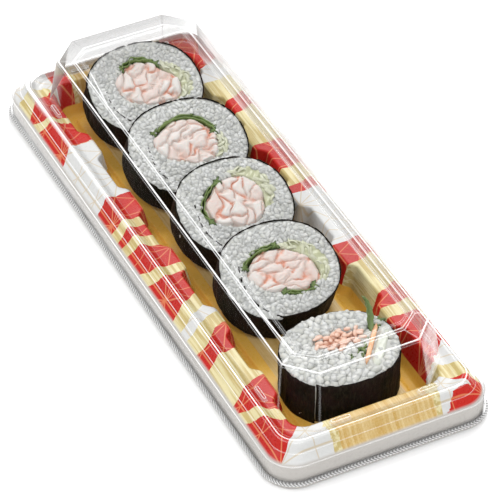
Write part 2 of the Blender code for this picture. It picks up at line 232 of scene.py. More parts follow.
def build(name, shape, paint, nodes, smooth=True):
    """Puts a shape into the scene as a piece of the tray that replaces these solids."""
    mesh = bpy.data.meshes.new(name)
    points, quads, tris = shape["points"], shape["quads"], shape["tris"]
    loops = np.concatenate([quads.reshape(-1), tris.reshape(-1)]).astype(np.int32)
    starts = np.concatenate([np.arange(len(quads)) * 4, len(quads) * 4 + np.arange(len(tris)) * 3])
    mesh.vertices.add(len(points))
    mesh.loops.add(len(loops))
    mesh.polygons.add(len(starts))
    mesh.vertices.foreach_set("co", points.astype(np.float32).reshape(-1))
    mesh.loops.foreach_set("vertex_index", loops)
    mesh.polygons.foreach_set("loop_start", starts.astype(np.int32))
    for key in set(shape) - {"points", "quads", "tris"}:
        values = mesh.attributes.new(key, "FLOAT", "POINT")
        values.data.foreach_set("value", shape[key].astype(np.float32))
    mesh.update(calc_edges=True)
    mesh.polygons.foreach_set("use_smooth", np.full(len(starts), smooth))
    mesh.materials.append(paint)
    piece = bpy.data.objects.new(name, mesh)
    bpy.context.scene.collection.objects.link(piece)
    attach(piece, "root")
    if nodes:
        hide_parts(*nodes)
    return piece


def ripple(points, size, seed, waves=11):
    """Soft unevenness, mostly from -1 to 1: sine waves about size long in random directions, added up."""
    random = np.random.default_rng(seed)
    ways = random.normal(size=(waves, 3))
    ways /= np.linalg.norm(ways, axis=1, keepdims=True) * size * random.uniform(0.7, 1.5, (waves, 1))
    return np.sin(points @ ways.T * TAU + random.uniform(0, TAU, waves)).sum(-1) / math.sqrt(waves)


def rounded(share):
    """0 to 1 with level ends: 3 s^2 - 2 s^3."""
    share = np.clip(share, 0, 1)
    return share * share * (3 - 2 * share)


# ------------------------------------------------------------- loops of the tray

LONG_STATIONS = 190
SHORT_STATIONS = 64
CORNER_STATIONS = 25


def loops(rows, press=None):
    """Closed loops round the tray, one for each row (half_x, half_y, z, cut_x, cut_y, chamfer, depth).

    Each loop has straight sides and four corners. A corner is a quarter ellipse where chamfer is 0 and a
    straight line where it is 1. The long sides are pressed inwards by depth * press(y).
    """
    half_x, half_y, height, cut_x, cut_y, chamfer, depth = (np.asarray(rows).T[:, :, None])[:7]
    along = np.linspace(-1, 1, LONG_STATIONS, endpoint=False)[None]
    across = np.linspace(-1, 1, SHORT_STATIONS, endpoint=False)[None]
    turn = np.linspace(0, 1, CORNER_STATIONS, endpoint=False)[None]
    part_x = (1 - chamfer) * (1 - np.cos(turn * TAU / 4)) + chamfer * turn
    part_y = (1 - chamfer) * (1 - np.sin(turn * TAU / 4)) + chamfer * (1 - turn)
    corner_x = half_x - cut_x * part_x
    corner_y = half_y - cut_y * part_y
    back_x = half_x - cut_x * np.roll(part_y[:, ::-1], 0, 1)
    side_y = along * (half_y - cut_y)
    inward = depth * (press(side_y) if press else 0 * side_y)
    side_x = half_x + 0 * side_y - inward
    end_x = -across * (half_x - cut_x)
    end_y = half_y + 0 * end_x
    # The second corner of each pair runs from the end side back to the long side.
    turn = 1 - turn
    part_x = (1 - chamfer) * (1 - np.cos(turn * TAU / 4)) + chamfer * turn
    part_y = (1 - chamfer) * (1 - np.sin(turn * TAU / 4)) + chamfer * (1 - turn)
    other_x = half_x - cut_x * part_x
    other_y = half_y - cut_y * part_y
    x = np.concatenate([side_x, corner_x, end_x, -other_x, -side_x, -corner_x, -end_x, other_x], 1)
    y = np.concatenate([side_y, corner_y, end_y, other_y, -side_y, -corner_y, -end_y, -other_y], 1)
    return np.stack([x, y, height + 0 * x], -1)


def softened(rows, reach, shine=None, steps=5):
    """The rows with every corner of their profile rounded, and how much each new row belongs to an edge, which is the
    strength of its painted highlight, at most the row's shine.

    A corner becomes a curve from reach before it to reach after it, less on short flats: the quadratic
    curve through the two ends that bends towards the corner.
    """
    rows = np.asarray(rows, float)
    reach = np.broadcast_to(reach, len(rows))
    shine = np.ones(len(rows)) if shine is None else shine
    made = [rows[0]]
    edge = [0.0]
    for before, here, after, most, white in zip(rows, rows[1:], rows[2:], reach[1:], shine[1:]):
        back, ahead = before - here, after - here
        lengths = [math.hypot(step[0], step[2]) for step in (back, ahead)]
        shares = [min(most / length, 0.45) for length in lengths]
        start, end = here + back * shares[0], here + ahead * shares[1]
        for share in np.linspace(0, 1, steps):
            made.append((1 - share) ** 2 * start + 2 * share * (1 - share) * here + share**2 * end)
            edge.append(white * math.sin(share * math.pi))
    return np.array(made + [rows[-1]]), np.array(edge + [0.0])


# ------------------------------------------------------------------ printed tray

WAVE_PITCH = 36.0
WAVE_FIRST = -66.0
WAVE_LAST = 78.0
WAVE_HALF_TOP = 5.5
WAVE_HALF_FOOT = 9.5

TRAY_WALL = 0.6
TRAY_ROWS = [
    # half width, half length, height, corner along x, corner along y, chamfer, wave depth
    (42.4, 117.4, 1.2, 11.4, 11.4, 0, 0),
    (41.3, 116.2, 1.2, 10.3, 10.3, 0, 0),
    (41.0, 115.9, 9.2, 10.0, 10.0, 0, 0),
    (38.0, 112.9, 11.9, 8.3, 8.3, 0, 0),
    (36.2, 111.1, 14.95, 7.3, 7.3, 0, 0),
    (35.0, 109.8, 14.95, 6.6, 6.6, 0, 0),
    (32.6, 107.3, 13.4, 5.6, 5.6, 0, 0),
    (28.9, 103.4, 13.4, 6.0, 6.0, 0, 3.2),
    (25.4, 99.7, 1.7, 4.4, 4.4, 0, 2.4),
    (24.6, 98.9, 0.6, 3.8, 3.8, 0, 2.4),
    (21.7, 96.0, 0.6, 3.0, 3.0, 0, 0),
    (20.8, 95.1, 1.7, 2.4, 2.4, 0, 0),
    (19.5, 93.8, 1.7, 2.0, 2.0, 0, 0),
]
TRAY_REACH = [0.0, 0.3, 0.8, 1.0, 1.0, 0.8, 0.9, 0.8, 0.7, 0.5, 0.5, 0.5, 0.0]

# Print along the long sides, from front to back. Each row is where a field starts, in millimetres along Y
# on the rim's outer edge, on its crest and on the lip, and the field's colour.
LEFT_FIELDS = [
    (-130.0, -130.0, -130.0, "white"),
    (-114.5, -110.5, -106.0, "red"),
    (-88.5, -93.2, -97.0, "gold"),
    (-83.2, -88.3, -92.0, "red"),
    (-80.9, -79.1, -73.9, "gold"),
    (-60.9, -59.4, -57.6, "red"),
    (-51.2, -52.6, -43.8, "gold"),
    (-43.5, -43.5, -38.0, "white"),
    (-39.0, -38.0, -33.0, "gold"),
    (-32.6, -31.2, -26.3, "red"),
    (-10.8, -14.5, -13.0, "gold"),
    (-3.8, -9.6, -9.0, "red"),
    (6.2, 5.0, 3.0, "gold"),
    (11.0, 10.0, 9.0, "red"),
    (13.6, 15.1, 15.5, "gold"),
    (19.2, 19.4, 20.0, "red"),
    (30.9, 33.3, 34.4, "white"),
    (61.6, 66.3, 68.2, "red"),
    (85.3, 83.3, 81.0, "gold"),
    (91.3, 85.5, 83.5, "red"),
    (91.7, 97.5, 101.0, "gold"),
    (103.0, 104.0, 103.5, "white"),
]
RIGHT_FIELDS = [
    (-130.0, -130.0, -130.0, "red"),
    (-108.0, -106.0, -104.0, "gold"),
    (-101.0, -100.0, -96.0, "white"),
    (-88.0, -87.0, -95.0, "red"),
    (-72.0, -70.0, -67.4, "gold"),
    (-62.0, -63.0, -62.4, "red"),
    (-52.0, -53.0, -54.9, "gold"),
    (-34.0, -35.5, -36.5, "red"),
    (-27.0, -26.0, -25.1, "white"),
    (5.0, 6.0, 7.2, "red"),
    (12.5, 11.5, 11.0, "gold"),
    (19.5, 20.0, 21.4, "red"),
    (34.0, 36.0, 38.1, "gold"),
    (60.0, 59.5, 58.6, "red"),
    (70.0, 68.0, 66.6, "gold"),
    (77.0, 78.5, 80.0, "white"),
    (92.0, 90.5, 88.6, "red"),
]
# The same along the short sides, from left to right: outer edge, crest and lip.
FRONT_FIELDS = [
    (-60.0, -60.0, -60.0, "white"),
    (-19.5, -19.2, -18.4, "gold"),
    (-17.3, -17.1, -17.0, "mat"),
    (19.6, 20.0, 19.6, "gold"),
    (21.4, 22.0, 24.0, "white"),
    (21.6, 27.0, 60.0, "red"),
]
BACK_FIELDS = [
    (-60.0, -60.0, -60.0, "white"),
    (-30.0, -27.0, -25.0, "red"),
    (-19.0, -19.0, -18.5, "gold"),
    (-17.0, -17.0, -17.0, "mat"),
    (17.0, 17.0, 17.0, "gold"),
    (20.0, 21.0, 21.0, "red"),
]
FIELD_PLACES_X = (41.5, 36.4, 29.5)
FIELD_PLACES_Y = (116.4, 111.3, 104.4)


def wave_shape(y):
    """1 on the level top of each pressed wave, 0 between the waves, and a soft slope from one to the other."""
    nearest = np.clip(np.round((y - WAVE_FIRST) / WAVE_PITCH), 0, round((WAVE_LAST - WAVE_FIRST) / WAVE_PITCH))
    away = np.abs(y - WAVE_FIRST - nearest * WAVE_PITCH)
    return rounded((WAVE_HALF_FOOT - away) / (WAVE_HALF_FOOT - WAVE_HALF_TOP))


def field_number(along, out, fields, places):
    """How far along the fields a point is: the field's number plus its share of that field.

    The start of each field at a point is read off the straight lines between its three given starts.
    """
    starts = [np.interp(out, places[::-1], np.array(field[:3])[::-1]) for field in fields]
    starts.append(starts[-1] + 60.0)
    total = 0.0
    for low, high in zip(starts, starts[1:]):
        total = total + np.clip((along - low) / np.maximum(high - low, 0.05), 0, 1)
    return total


def tray_shape():
    rows, edge = softened(TRAY_ROWS, TRAY_REACH)
    # The wall and the two skirts get more rows, so that the waves and the print bend evenly.
    finer = [rows[0]]
    for low, high in zip(rows, rows[1:]):
        count = max(1, int(math.hypot(high[0] - low[0], high[2] - low[2]) / 1.5))
        finer += [low + (high - low) * k / count for k in range(1, count + 1)]
    points = loops(finer, wave_shape)
    x, y = points[..., 0], points[..., 1]
    side = np.where(
        x < 0,
        field_number(y, -x, LEFT_FIELDS, FIELD_PLACES_X),
        field_number(y, x, RIGHT_FIELDS, FIELD_PLACES_X),
    )
    end = np.where(
        y < 0,
        field_number(x, -y, FRONT_FIELDS, FIELD_PLACES_Y),
        field_number(x, y, BACK_FIELDS, FIELD_PLACES_Y),
    )
    return surface(points * MM, caps=(-1,), side_field=side, end_field=end)


FIELD_CODES = {"white": (0.0, 0.0, 0.0), "red": (1.0, 0.0, 0.0), "gold": (0.0, 1.0, 0.0), "mat": (0.0, 0.0, 1.0)}

RED = (0.58, 0.024, 0.016)
WHITE = (0.68, 0.68, 0.67)
GOLD = (0.56, 0.44, 0.18)
GOLD_LIGHT = (0.76, 0.68, 0.40)
LINE_ON_RED = (0.80, 0.36, 0.16)
LINE_ON_WHITE = (0.55, 0.38, 0.14)
MAT_PALE = (0.74, 0.58, 0.30)
MAT_DARK = (0.58, 0.36, 0.10)
OCHRE = (0.84, 0.50, 0.09)
UNPRINTED = (0.55, 0.525, 0.495)


def print_paint():
    """Fields of red, white and striped gold with thin hemp-leaf lines, and a bamboo mat down the middle."""
    paint, tree = begin("printed_plastic")
    x, y, z = tree.place()

    def codes(fields, number):
        stops = [(k / 32, FIELD_CODES[field[3]]) for k, field in enumerate(fields)]
        settings = {"steps": "CONSTANT", "stops": stops}
        ramp = tree.node("ShaderNodeValToRGB", settings, {0: number / 32})
        return ramp

    side = tree.attribute("side_field")
    end = tree.attribute("end_field")
    long_sides = x.above(0.0).blend(codes(LEFT_FIELDS, side), codes(RIGHT_FIELDS, side))
    short_sides = y.above(0.0).blend(codes(FRONT_FIELDS, end), codes(BACK_FIELDS, end))
    at_end = (abs(y) - 103.4).above(abs(x) - 28.9)
    code = at_end.blend(long_sides, short_sides)
    split = tree.node("ShaderNodeSeparateColor", None, {0: code})
    red, gold, mat = (Link(tree.tree, split.socket.node.outputs[k]) for k in range(3))

    where = tree.spread(x, y, z)
    # Hemp-leaf lines: six families of parallel lines, 30 degrees apart, crossing at common points.
    lines = None
    for k in range(6):
        way = math.radians(30 * k)
        pitch = HEMP_PITCH if k % 2 == 0 else HEMP_PITCH * math.sqrt(3)
        across = (x * math.cos(way) + y * math.sin(way)) / pitch
        near = abs(across % 1.0 - 0.5) * pitch
        line = near.above(pitch / 2 - HEMP_LINE, HEMP_LINE)
        lines = line if lines is None else lines.maths("MAXIMUM", lines, line)

    stripes = tree.clouds(tree.spread(x * 1.0, y * 0.05, z * 1.0), 0.75, 2.0)
    gold_colour = stripes.above(0.5, 0.16).blend(GOLD, GOLD_LIGHT)
    shade = tree.clouds(where, 0.05, 2.0)
    red_colour = (lines * 0.55).blend(shade.above(0.5, 0.6).blend((0.46, 0.018, 0.014), RED), LINE_ON_RED)
    white_colour = (lines * 0.5).blend(WHITE, LINE_ON_WHITE)

    # Bamboo mat: strips along Y, each with its own tone and a dark gap, narrow on the rim and wide below.
    strip = x / (MAT_STRIP + z.above(9.0) * (RIM_STRIP - MAT_STRIP))
    own = tree.node("ShaderNodeTexWhiteNoise", {"noise_dimensions": "1D"}, {"W": strip.maths("FLOOR", strip)})
    gap = abs(strip % 1.0 - 0.5).above(0.44, 0.08)
    fibre = tree.clouds(tree.spread(x * 1.0, y * 0.03, z), 2.2, 3.0)
    tone = (own * 0.35 + fibre * 0.65).above(0.5, 0.5)
    mat_colour = (gap * 0.55).blend(tone.blend(MAT_DARK, MAT_PALE), MAT_DARK)

    colour = red.blend(white_colour, red_colour)
    colour = gold.blend(colour, gold_colour)
    colour = mat.blend(colour, mat_colour)

    # The floor carries the pale mat, and the pressed channel round it is plain ochre.
    floor_colour = (gap * 0.3).blend(tone.blend(FLOOR_DARK, FLOOR_PALE), MAT_DARK)
    outside = x.maths("MAXIMUM", abs(x - 1.25) - 18.35, abs(y) - 95.4)
    skirt = x.maths("MAXIMUM", abs(x) - 30.0, abs(y) - 104.0)
    channel = outside.above(0.0, 0.3) * z.below(4.4, 0.5) * skirt.below(0.0)
    floor = outside.below(0.0, 0.3) * z.below(4.0)
    colour = floor.blend(colour, floor_colour)
    colour = channel.blend(colour, OCHRE)

    # Below the rim's shoulder the skirt is bare plastic.
    bare = skirt.above(0.0) * z.below(9.6, 0.8)
    colour = bare.blend(colour, UNPRINTED)

    grain = tree.clouds(where, 0.9, 2.0)
    sockets = {"Specular IOR Level": 0.2}
    shader = principled(tree, colour, 0.24 + grain * 0.08, grain, 0.00004, **sockets)
    finish_paint(tree, shader)
    return paint


HEMP_PITCH = 13.0
HEMP_LINE = 0.2
MAT_STRIP = 3.2
RIM_STRIP = 1.0
FLOOR_PALE = (0.82, 0.62, 0.30)
FLOOR_DARK = (0.62, 0.40, 0.12)


def make_tray():
    piece = build("printed_tray", tray_shape(), print_paint(), ["tray"])
    wall = piece.modifiers.new("wall", "SOLIDIFY")
    wall.thickness = TRAY_WALL * MM
    wall.offset = -1.0
    wall.use_even_offset = True
    wall.use_quality_normals = True
    return piece


# --------------------------------------------------------------------- clear lid

LID_ROWS = [
    (42.2, 117.2, 2.0, 11.2, 11.2, 0, 0),
    (41.9, 116.8, 9.7, 11.0, 11.0, 0, 0),
    (38.7, 113.6, 12.45, 9.0, 9.0, 0, 0),
    (36.9, 111.8, 15.6, 8.0, 8.0, 0, 0),
    (36.0, 110.8, 16.0, 7.5, 7.5, 0, 0),
    (34.9, 109.7, 15.7, 6.8, 6.8, 0, 0),
    (32.4, 107.1, 14.3, 5.8, 5.8, 0, 0),
    (31.4, 106.0, 14.3, 10.4, 10.7, 1, 0),
    (29.0, 102.5, 33.5, 9.7, 9.9, 1, 0),
    (28.3, 101.8, 34.1, 9.4, 9.6, 1, 0),
    (23.7, 95.4, 34.1, 7.2, 5.8, 1, 0),
    (23.1, 94.7, 34.6, 7.0, 5.6, 1, 0),
    (21.4, 92.9, 34.6, 5.0, 4.4, 0.4, 0),
    (20.8, 92.3, 34.35, 4.8, 4.2, 0.2, 0),
    (20.2, 91.7, 34.6, 4.6, 4.0, 0, 0),
    (18.0, 89.0, 34.6, 4.6, 4.0, 0, 0),
]
# How strong the painted highlight along the pressed edge at each row is.
LID_HIGHLIGHT = [0.2, 0.8, 0.55, 0.3, 0.95, 0.35, 0.1, 0.0, 0.3, 1.0, 0.5, 0.8, 0.15, 0.25, 0.15, 0.0]
LID_REACH = [0.0, 0.3, 0.25, 0.3, 0.32, 0.3, 0.25, 0.25, 0.25, 0.4, 0.25, 0.3, 0.25, 0.25, 0.25, 0.0]
# A painted highlight covers the rim's crest over its whole width towards the back: half widths, lowest height,
# strength and the two places along Y between which it comes in.
CREST_HIGHLIGHT = (35.2, 36.7, 15.5, 0.5, -10.0, 60.0)
SHARP = math.radians(30)
# Painted edge highlights at the front end keep this share of their strength.
FRONT_HIGHLIGHT = 0.45
RIB_PITCH = 1.3
RIB_DEPTH = 0.3


# Strength of the painted highlight along the dome's upright corner edges.
UPRIGHT_HIGHLIGHT = 0.22
# Raised pads at the dome's foot: middle and half sizes. Beads on the top: both ends in plan.
PAD_HEIGHT = 1.2
PADS = [
    (-13.55, -106.8, 3.5, 0.7),
    (20.1, -106.8, 3.5, 0.7),
    (-31.9, -83.6, 0.5, 3.3),
    (31.9, -83.6, 0.5, 3.3),
    (-31.9, 87.9, 0.5, 3.3),
    (31.9, 87.9, 0.5, 3.3),
    (-13.55, 106.8, 3.5, 0.7),
    (20.1, 106.8, 3.5, 0.7),
]
STIFFENERS = [((-20.5, 80.6), (-22.8, 60.4)), ((-23.7, -63.6), (-22.4, -91.0))]


def bead(start, end):
    """A low round bead on the lid's top: a half circle carried from start to end."""
    share = np.linspace(0, 1, 24)[:, None]
    middle = np.array(start) + (np.array(end) - np.array(start)) * share
    along = (np.array(end) - np.array(start)) / math.dist(start, end)
    side = np.array([along[1], -along[0]])
    around = np.linspace(0, math.pi, 7)[None]
    wide = 0.3 * np.sqrt(np.clip(1 - (share * 2 - 1) ** 8, 0, 1))
    plan = middle[:, None] + side * (wide * np.cos(around))[..., None]
    height = 34.35 + 0.2 * np.sin(around) + 0 * share
    points = np.concatenate([plan, height[..., None]], -1)
    # Painted highlight along the top of the bead.
    return surface(points * MM, wrap_columns=False, edge=0.75 * np.sin(around) + 0 * share)


def pad(x, y, half_x, half_y):
    """A raised pad with rounded corners: superellipse loops, from its foot up and over its top."""
    angle = np.linspace(0, TAU, 48, endpoint=False)
    radius = oval(1.0, 1.0, angle, 6.0)
    loop = np.stack([radius * np.cos(angle), radius * np.sin(angle)], -1)
    # Each step: how far the loop grows, how high it stands, and its painted highlight.
    steps = ((0.6, 0.0, 0.1), (0.35, 0.1, 0.3), (0.2, 0.8, 0.1), (0.0, 1.0, 0.5), (-0.25, 1.0, 0.0))
    rows = []
    for grow, level, _ in steps:
        plan = loop * (np.array([half_x, half_y]) + grow) + (x, y)
        rows.append(np.column_stack([plan, np.full(len(plan), 14.3 + level * PAD_HEIGHT)]))
    edge = np.array([white for _, _, white in steps])[:, None]
    return surface(np.stack(rows) * MM, caps=(-1,), edge=edge)


def corner_closeness(chamfer):
    """1 at the eight upright edges of the dome, 0 elsewhere, for each station of a loop."""
    stations = LONG_STATIONS + SHORT_STATIONS + 2 * CORNER_STATIONS
    near = np.zeros(2 * stations)
    for half in (0, stations):
        for at in (
            half + LONG_STATIONS,
            half + LONG_STATIONS + CORNER_STATIONS,
            half + LONG_STATIONS + CORNER_STATIONS + SHORT_STATIONS,
            half + stations,
        ):
            near[at % (2 * stations)] = 1.0
    return near[None] * chamfer[:, None]


def lid_shape():
    rows, edge = softened(LID_ROWS, LID_REACH, LID_HIGHLIGHT)
    finer, glow = [rows[0]], [edge[0]]
    for low, high, a, b in zip(rows, rows[1:], edge, edge[1:]):
        count = max(1, int(math.hypot(high[0] - low[0], high[2] - low[2]) / 2.0))
        finer += [low + (high - low) * k / count for k in range(1, count + 1)]
        glow += [a + (b - a) * k / count for k in range(1, count + 1)]
    finer = np.array(finer)
    points = loops(finer)
    # Painted highlights along the dome's upright corner edges and over the rim's crest.
    upright = corner_closeness(finer[:, 5] * (finer[:, 2] > 14.5)) * UPRIGHT_HIGHLIGHT
    low, high, lowest, strength, start, full = CREST_HIGHLIGHT
    inside = (finer[:, 0] > low) & (finer[:, 0] < high) & (finer[:, 2] > lowest)
    crest = strength * inside[:, None] * rounded((points[..., 1] - start) / (full - start))
    glow = np.maximum(np.array(glow)[:, None], crest)
    # The painted edge highlights are a little fainter at the front end.
    fade = FRONT_HIGHLIGHT + (1 - FRONT_HIGHLIGHT) * rounded((points[..., 1] + 110.0) / 40.0)
    shape = surface(points * MM, caps=(-1,), edge=np.maximum(glow, upright) * fade)
    beads = [bead(*ends) for ends in STIFFENERS]
    pads = [pad(x, y, *half) for x, y, *half in PADS]
    return joined([shape] + beads + pads)


FILM = (0.97, 0.975, 0.975)
FILM_SHADE = (0.925, 0.927, 0.928)
# Painted light on the film: the strength of its faint white glow, the grey of its painted far-end reflection, and how
# much white film the painted reflections on steep walls and at the far end add.
FILM_PAINTED_GLOW = 0.25
FILM_FAR_GREY_REFLECTION = (0.42, 0.415, 0.41)
WALL_REFLECTION = 0.75
FAR_END_REFLECTION = 0.38


def clear_paint(name, haze, edge_highlight, slant_sheen):
    """Clear film: see-through, with painted highlights and reflections: whiter where it is seen at a slant and along
    its pressed edges.
    """
    paint, tree = begin(name)
    x, y, z = tree.place()
    edge = tree.attribute("edge")
    slant = tree.node("ShaderNodeLayerWeight", None, {"Blend": 0.5}, out="Facing")
    streak = tree.clouds(tree.spread(x, y * 0.12, z), 0.35, 3.0)
    # Painted highlights along the pressed edges, as a share of white film.
    white = haze + edge * edge_highlight * (streak * 0.8 + 0.6)
    streaky = streak.above(0.5, 0.3) * 0.8 + 0.6
    # Painted sheen where the film is seen at a slant, and a painted reflection on the walls seen at a steep slant.
    white = white + (slant ** 14.0 * slant_sheen + slant.above(0.725, 0.14) * WALL_REFLECTION) * streaky
    # Painted reflection: the far end of the dome shows more film, as if it mirrored the dimmer room behind it.
    far = y.above(92.0, 14.0) * z.above(14.8, 0.5)
    white = (white + far * FAR_END_REFLECTION).maths("MINIMUM", white + far * FAR_END_REFLECTION, 0.97)
    # Painted reflection: the far end and the parts seen almost edge-on take a grey film colour and no glow, except
    # along the edges.
    dim_reflection = far.maths("MAXIMUM", far, slant.above(0.9, 0.14) * 0.8) * edge.below(0.3, 0.3)
    # A faint white emission makes the film glow: a painted glow that keeps its highlights white.
    sockets = {"Metallic": 0.2, "IOR": 1.5, "Emission Color": dim_reflection.blend((1.0, 1.0, 1.0), (0.0, 0.0, 0.0))}
    film = principled(tree, dim_reflection.blend(FILM, FILM_FAR_GREY_REFLECTION), 0.18, None, 0.0, **sockets, **{"Emission Strength": FILM_PAINTED_GLOW})
    open_part = tree.node("ShaderNodeBsdfTransparent", None, {0: FILM_SHADE})
    finish_paint(tree, tree.node("ShaderNodeMixShader", None, {0: white, 1: open_part, 2: film}))
    return paint


# Painted shade in the valleys between the ribs and painted highlights on their tops.
RIB_VALLEY_SHADE = (0.30, 0.30, 0.30)
RIB_TOP_HIGHLIGHT = (0.90, 0.90, 0.90)


def ribbed_paint():
    """The ribbed strip: milky film, with painted highlights on its ribs and painted shade between them."""
    paint, tree = begin("ribbed_film")
    rib = tree.attribute("edge")
    # More of the milky film shows on the ribs, and lighter: painted highlights, with painted shade between.
    film = principled(tree, rib.blend(RIB_VALLEY_SHADE, RIB_TOP_HIGHLIGHT), 0.3)
    open_part = tree.node("ShaderNodeBsdfTransparent", None, {0: FILM_SHADE})
    finish_paint(tree, tree.node("ShaderNodeMixShader", None, {0: 0.35 + rib * 0.5, 1: open_part, 2: film}))
    return paint


def flange_shape():
    """The ribbed strip round the lid's foot: a ring whose height and edge wave once every rib."""
    outer = [(43.0, 118.0, 2.0, 12.0, 12.0, 0, 0), (42.1, 117.1, 2.0, 11.1, 11.1, 0, 0), (41.9, 116.85, 9.7, 11.0, 11.0, 0, 0)]
    count = int(2 * (2 * 43.0 + 2 * 118.0) / RIB_PITCH * 6)
    rows = []
    for row in outer[:2]:
        loop = loops([row])[0]
        steps = np.linalg.norm(np.roll(loop, -1, 0) - loop, axis=1)
        along = np.concatenate([[0], np.cumsum(steps)])
        closed = np.concatenate([loop, loop[:1]])
        at = np.linspace(0, along[-1], count, endpoint=False)
        rows.append(np.stack([np.interp(at, along, closed[:, k]) for k in range(3)], -1))
    wave = 0.5 + 0.5 * np.cos(np.arange(count) / 6 * TAU)
    out, rim = rows
    inward = (rim - out) / np.linalg.norm(rim - out, axis=1, keepdims=True)
    lift = np.array([0.0, 0.0, 1.0])
    profile = [
        out + inward * 0.35 * wave[:, None] + lift * (-0.45),
        out + inward * 0.35 * wave[:, None],
        out + inward * 0.55,
        rim + lift * (0.25 * wave[:, None]),
        rim + inward * 0.1 + lift * (1.2 + 0.0 * wave[:, None]),
        rim + inward * 0.6 + lift * 1.2,
        rim + inward * 0.6 - lift * 0.45,
    ]
    points = np.stack(profile)
    # Painted highlights on the ribs' tops and outer face, none on the inner rows.
    painted_brightness = np.stack([0.5 + 0.5 * wave, 0.4 + 0.6 * wave, wave, wave, 0 * wave, 0 * wave, 0 * wave])
    return surface(points * MM, wrap_rows=True, edge=painted_brightness)


def make_lid():
    lid = build("clear_lid", lid_shape(), clear_paint("clear_film", 0.0, 0.95, 3.0), ["lid"])
    lid.data.set_sharp_from_angle(angle=SHARP)
    build("lid_flange", outward(flange_shape()), ribbed_paint(), [])


# ------------------------------------------------------------------ rolled slices

NORI = 0.6
SLICE = 13.0
END_PIECE = 17.4
LEAN = math.radians(21)
FLOOR_TOP = 1.7
GAP = 0.3
EDGE_ROOM = 0.1
ROUNDNESS = 2.25
LAP = 1.2
LAYER_FULLNESS = 0.7


def oval(half_x, half_y, angle, power=2.0):
    """Radius of a superellipse at an angle: (|cos a / half_x|^p + |sin a / half_y|^p) ^ (-1/p)."""
    across = np.abs(np.cos(angle) / half_x) ** power
    along = np.abs(np.sin(angle) / half_y) ** power
    return (across + along) ** (-1 / power)


def spiral(half_x, half_y, flap_start, seam, flap_depth):
    return {
        "half_x": half_x,
        "half_y": half_y,
        "flap_start": math.radians(flap_start),
        "seam": math.radians(seam),
        "flap_depth": flap_depth,
    }


def filling(x, y, half_x, half_y, turn, lobes, phase):
    return {
        "middle": np.array([x, y]),
        "half_x": half_x,
        "half_y": half_y,
        "turn": math.radians(turn),
        "lobes": lobes,
        "phase": phase,
    }


def wrap(start, end, thin, thick):
    return {"start": math.radians(start), "end": math.radians(end), "thin": thin, "thick": thick}


def sheet_radius(roll, angle):
    """Radius of the nori's middle line: the slice's outline, deeper along the flap, a little out at the lap."""
    radius = oval(roll["half_x"], roll["half_y"], angle, ROUNDNESS) - NORI / 2 - LAP
    share = (angle - roll["flap_start"]) / (roll["seam"] - roll["flap_start"])
    radius = radius - np.where(share < 1, roll["flap_depth"] * (1 - share * share), 0.0)
    last = np.clip((angle - roll["seam"] - math.pi) / math.pi, 0, 1)
    return radius + LAP * np.sin(last * math.pi / 2) ** 2


def core_radius(core, angle):
    """Radius of the filling round its own middle: a turned oval with three soft lobes."""
    turned = angle - core["turn"]
    return oval(core["half_x"], core["half_y"], turned) * (1 + core["lobes"] * np.cos(3 * turned + core["phase"]))


def layer_thickness(layer, angle):
    middle = (layer["start"] + layer["end"]) / 2
    half = (layer["end"] - layer["start"]) / 2
    share = np.abs((angle - middle + math.pi) % TAU - math.pi) / half
    full = np.cos(np.clip(share, 0, 1) * math.pi / 2) ** LAYER_FULLNESS
    return np.where(share > 1, 0.0, layer["thin"] + (layer["thick"] - layer["thin"]) * full)


def leaning(name, sizes, y):
    """The slice's middle line from its lower to its upper cut: (its start, the matrix of its axes)."""
    base = FLOOR_TOP + GAP + (sizes["roll"]["half_y"] + EDGE_ROOM) * math.sin(LEAN)
    face = np.array([sizes["x"], y, base + SLICE * math.cos(LEAN)])
    turn = np.array([[1, 0, 0], [0, math.cos(LEAN), -math.sin(LEAN)], [0, math.sin(LEAN), math.cos(LEAN)]])
    return face - turn @ np.array([0, 0, SLICE]), turn


def placed(shape, start, turn):
    """The shape, made round the origin with its cut face up, moved into its place, in metres."""
    return {**shape, "points": (shape["points"] @ turn.T + start) * MM}


def nori_shape(roll, height, seed):
    """The sheet: its spiral line, given a thickness, times its height, wrinkled along its normal."""
    angle = np.linspace(roll["flap_start"], roll["seam"] + TAU, 340)
    line = sheet_radius(roll, angle)[:, None] * np.stack([np.cos(angle), np.sin(angle)], -1)
    ahead = np.gradient(line, axis=0)
    normal = np.stack([ahead[:, 1], -ahead[:, 0]], -1) / np.linalg.norm(ahead, axis=1, keepdims=True)
    levels = np.linspace(0, 1, 17)
    across = np.concatenate([np.full(17, 0.5), np.full(17, -0.5)]) * NORI * 0.7
    up = np.concatenate([levels, levels[::-1]]) * height
    points = np.zeros((len(angle), 34, 3))
    points[..., :2] = line[:, None] + normal[:, None] * across[None, :, None]
    points[..., 2] = up[None]
    flat = np.stack([angle[:, None] * 20 + 0 * up, 0 * angle[:, None] + up * 0.35, 0 * points[..., 2]], -1)
    wrinkle = 0.16 * ripple(flat, 5.0, seed) + 0.10 * ripple(flat * 1.0, 2.0, seed + 1)
    free = np.clip(np.minimum(up, height - up) / 2.0, 0.35, 1.0)
    points[..., :2] += normal[:, None] * (wrinkle * free - 0.1)[..., None]
    edge = (up / height > 0.9) + 0 * flat[..., 0]
    inner_end = rounded((roll["seam"] + 0.1 - angle) / 0.2)[:, None]
    dip = np.clip(ripple(flat, 2.6, seed + 2), 0, 2) * (0.55 + 0.4 * inner_end)
    points[..., 2] += edge * (0.15 - dip)
    return outward(surface(points, caps=(0, -1), level=up[None] / height + 0 * angle[:, None]))


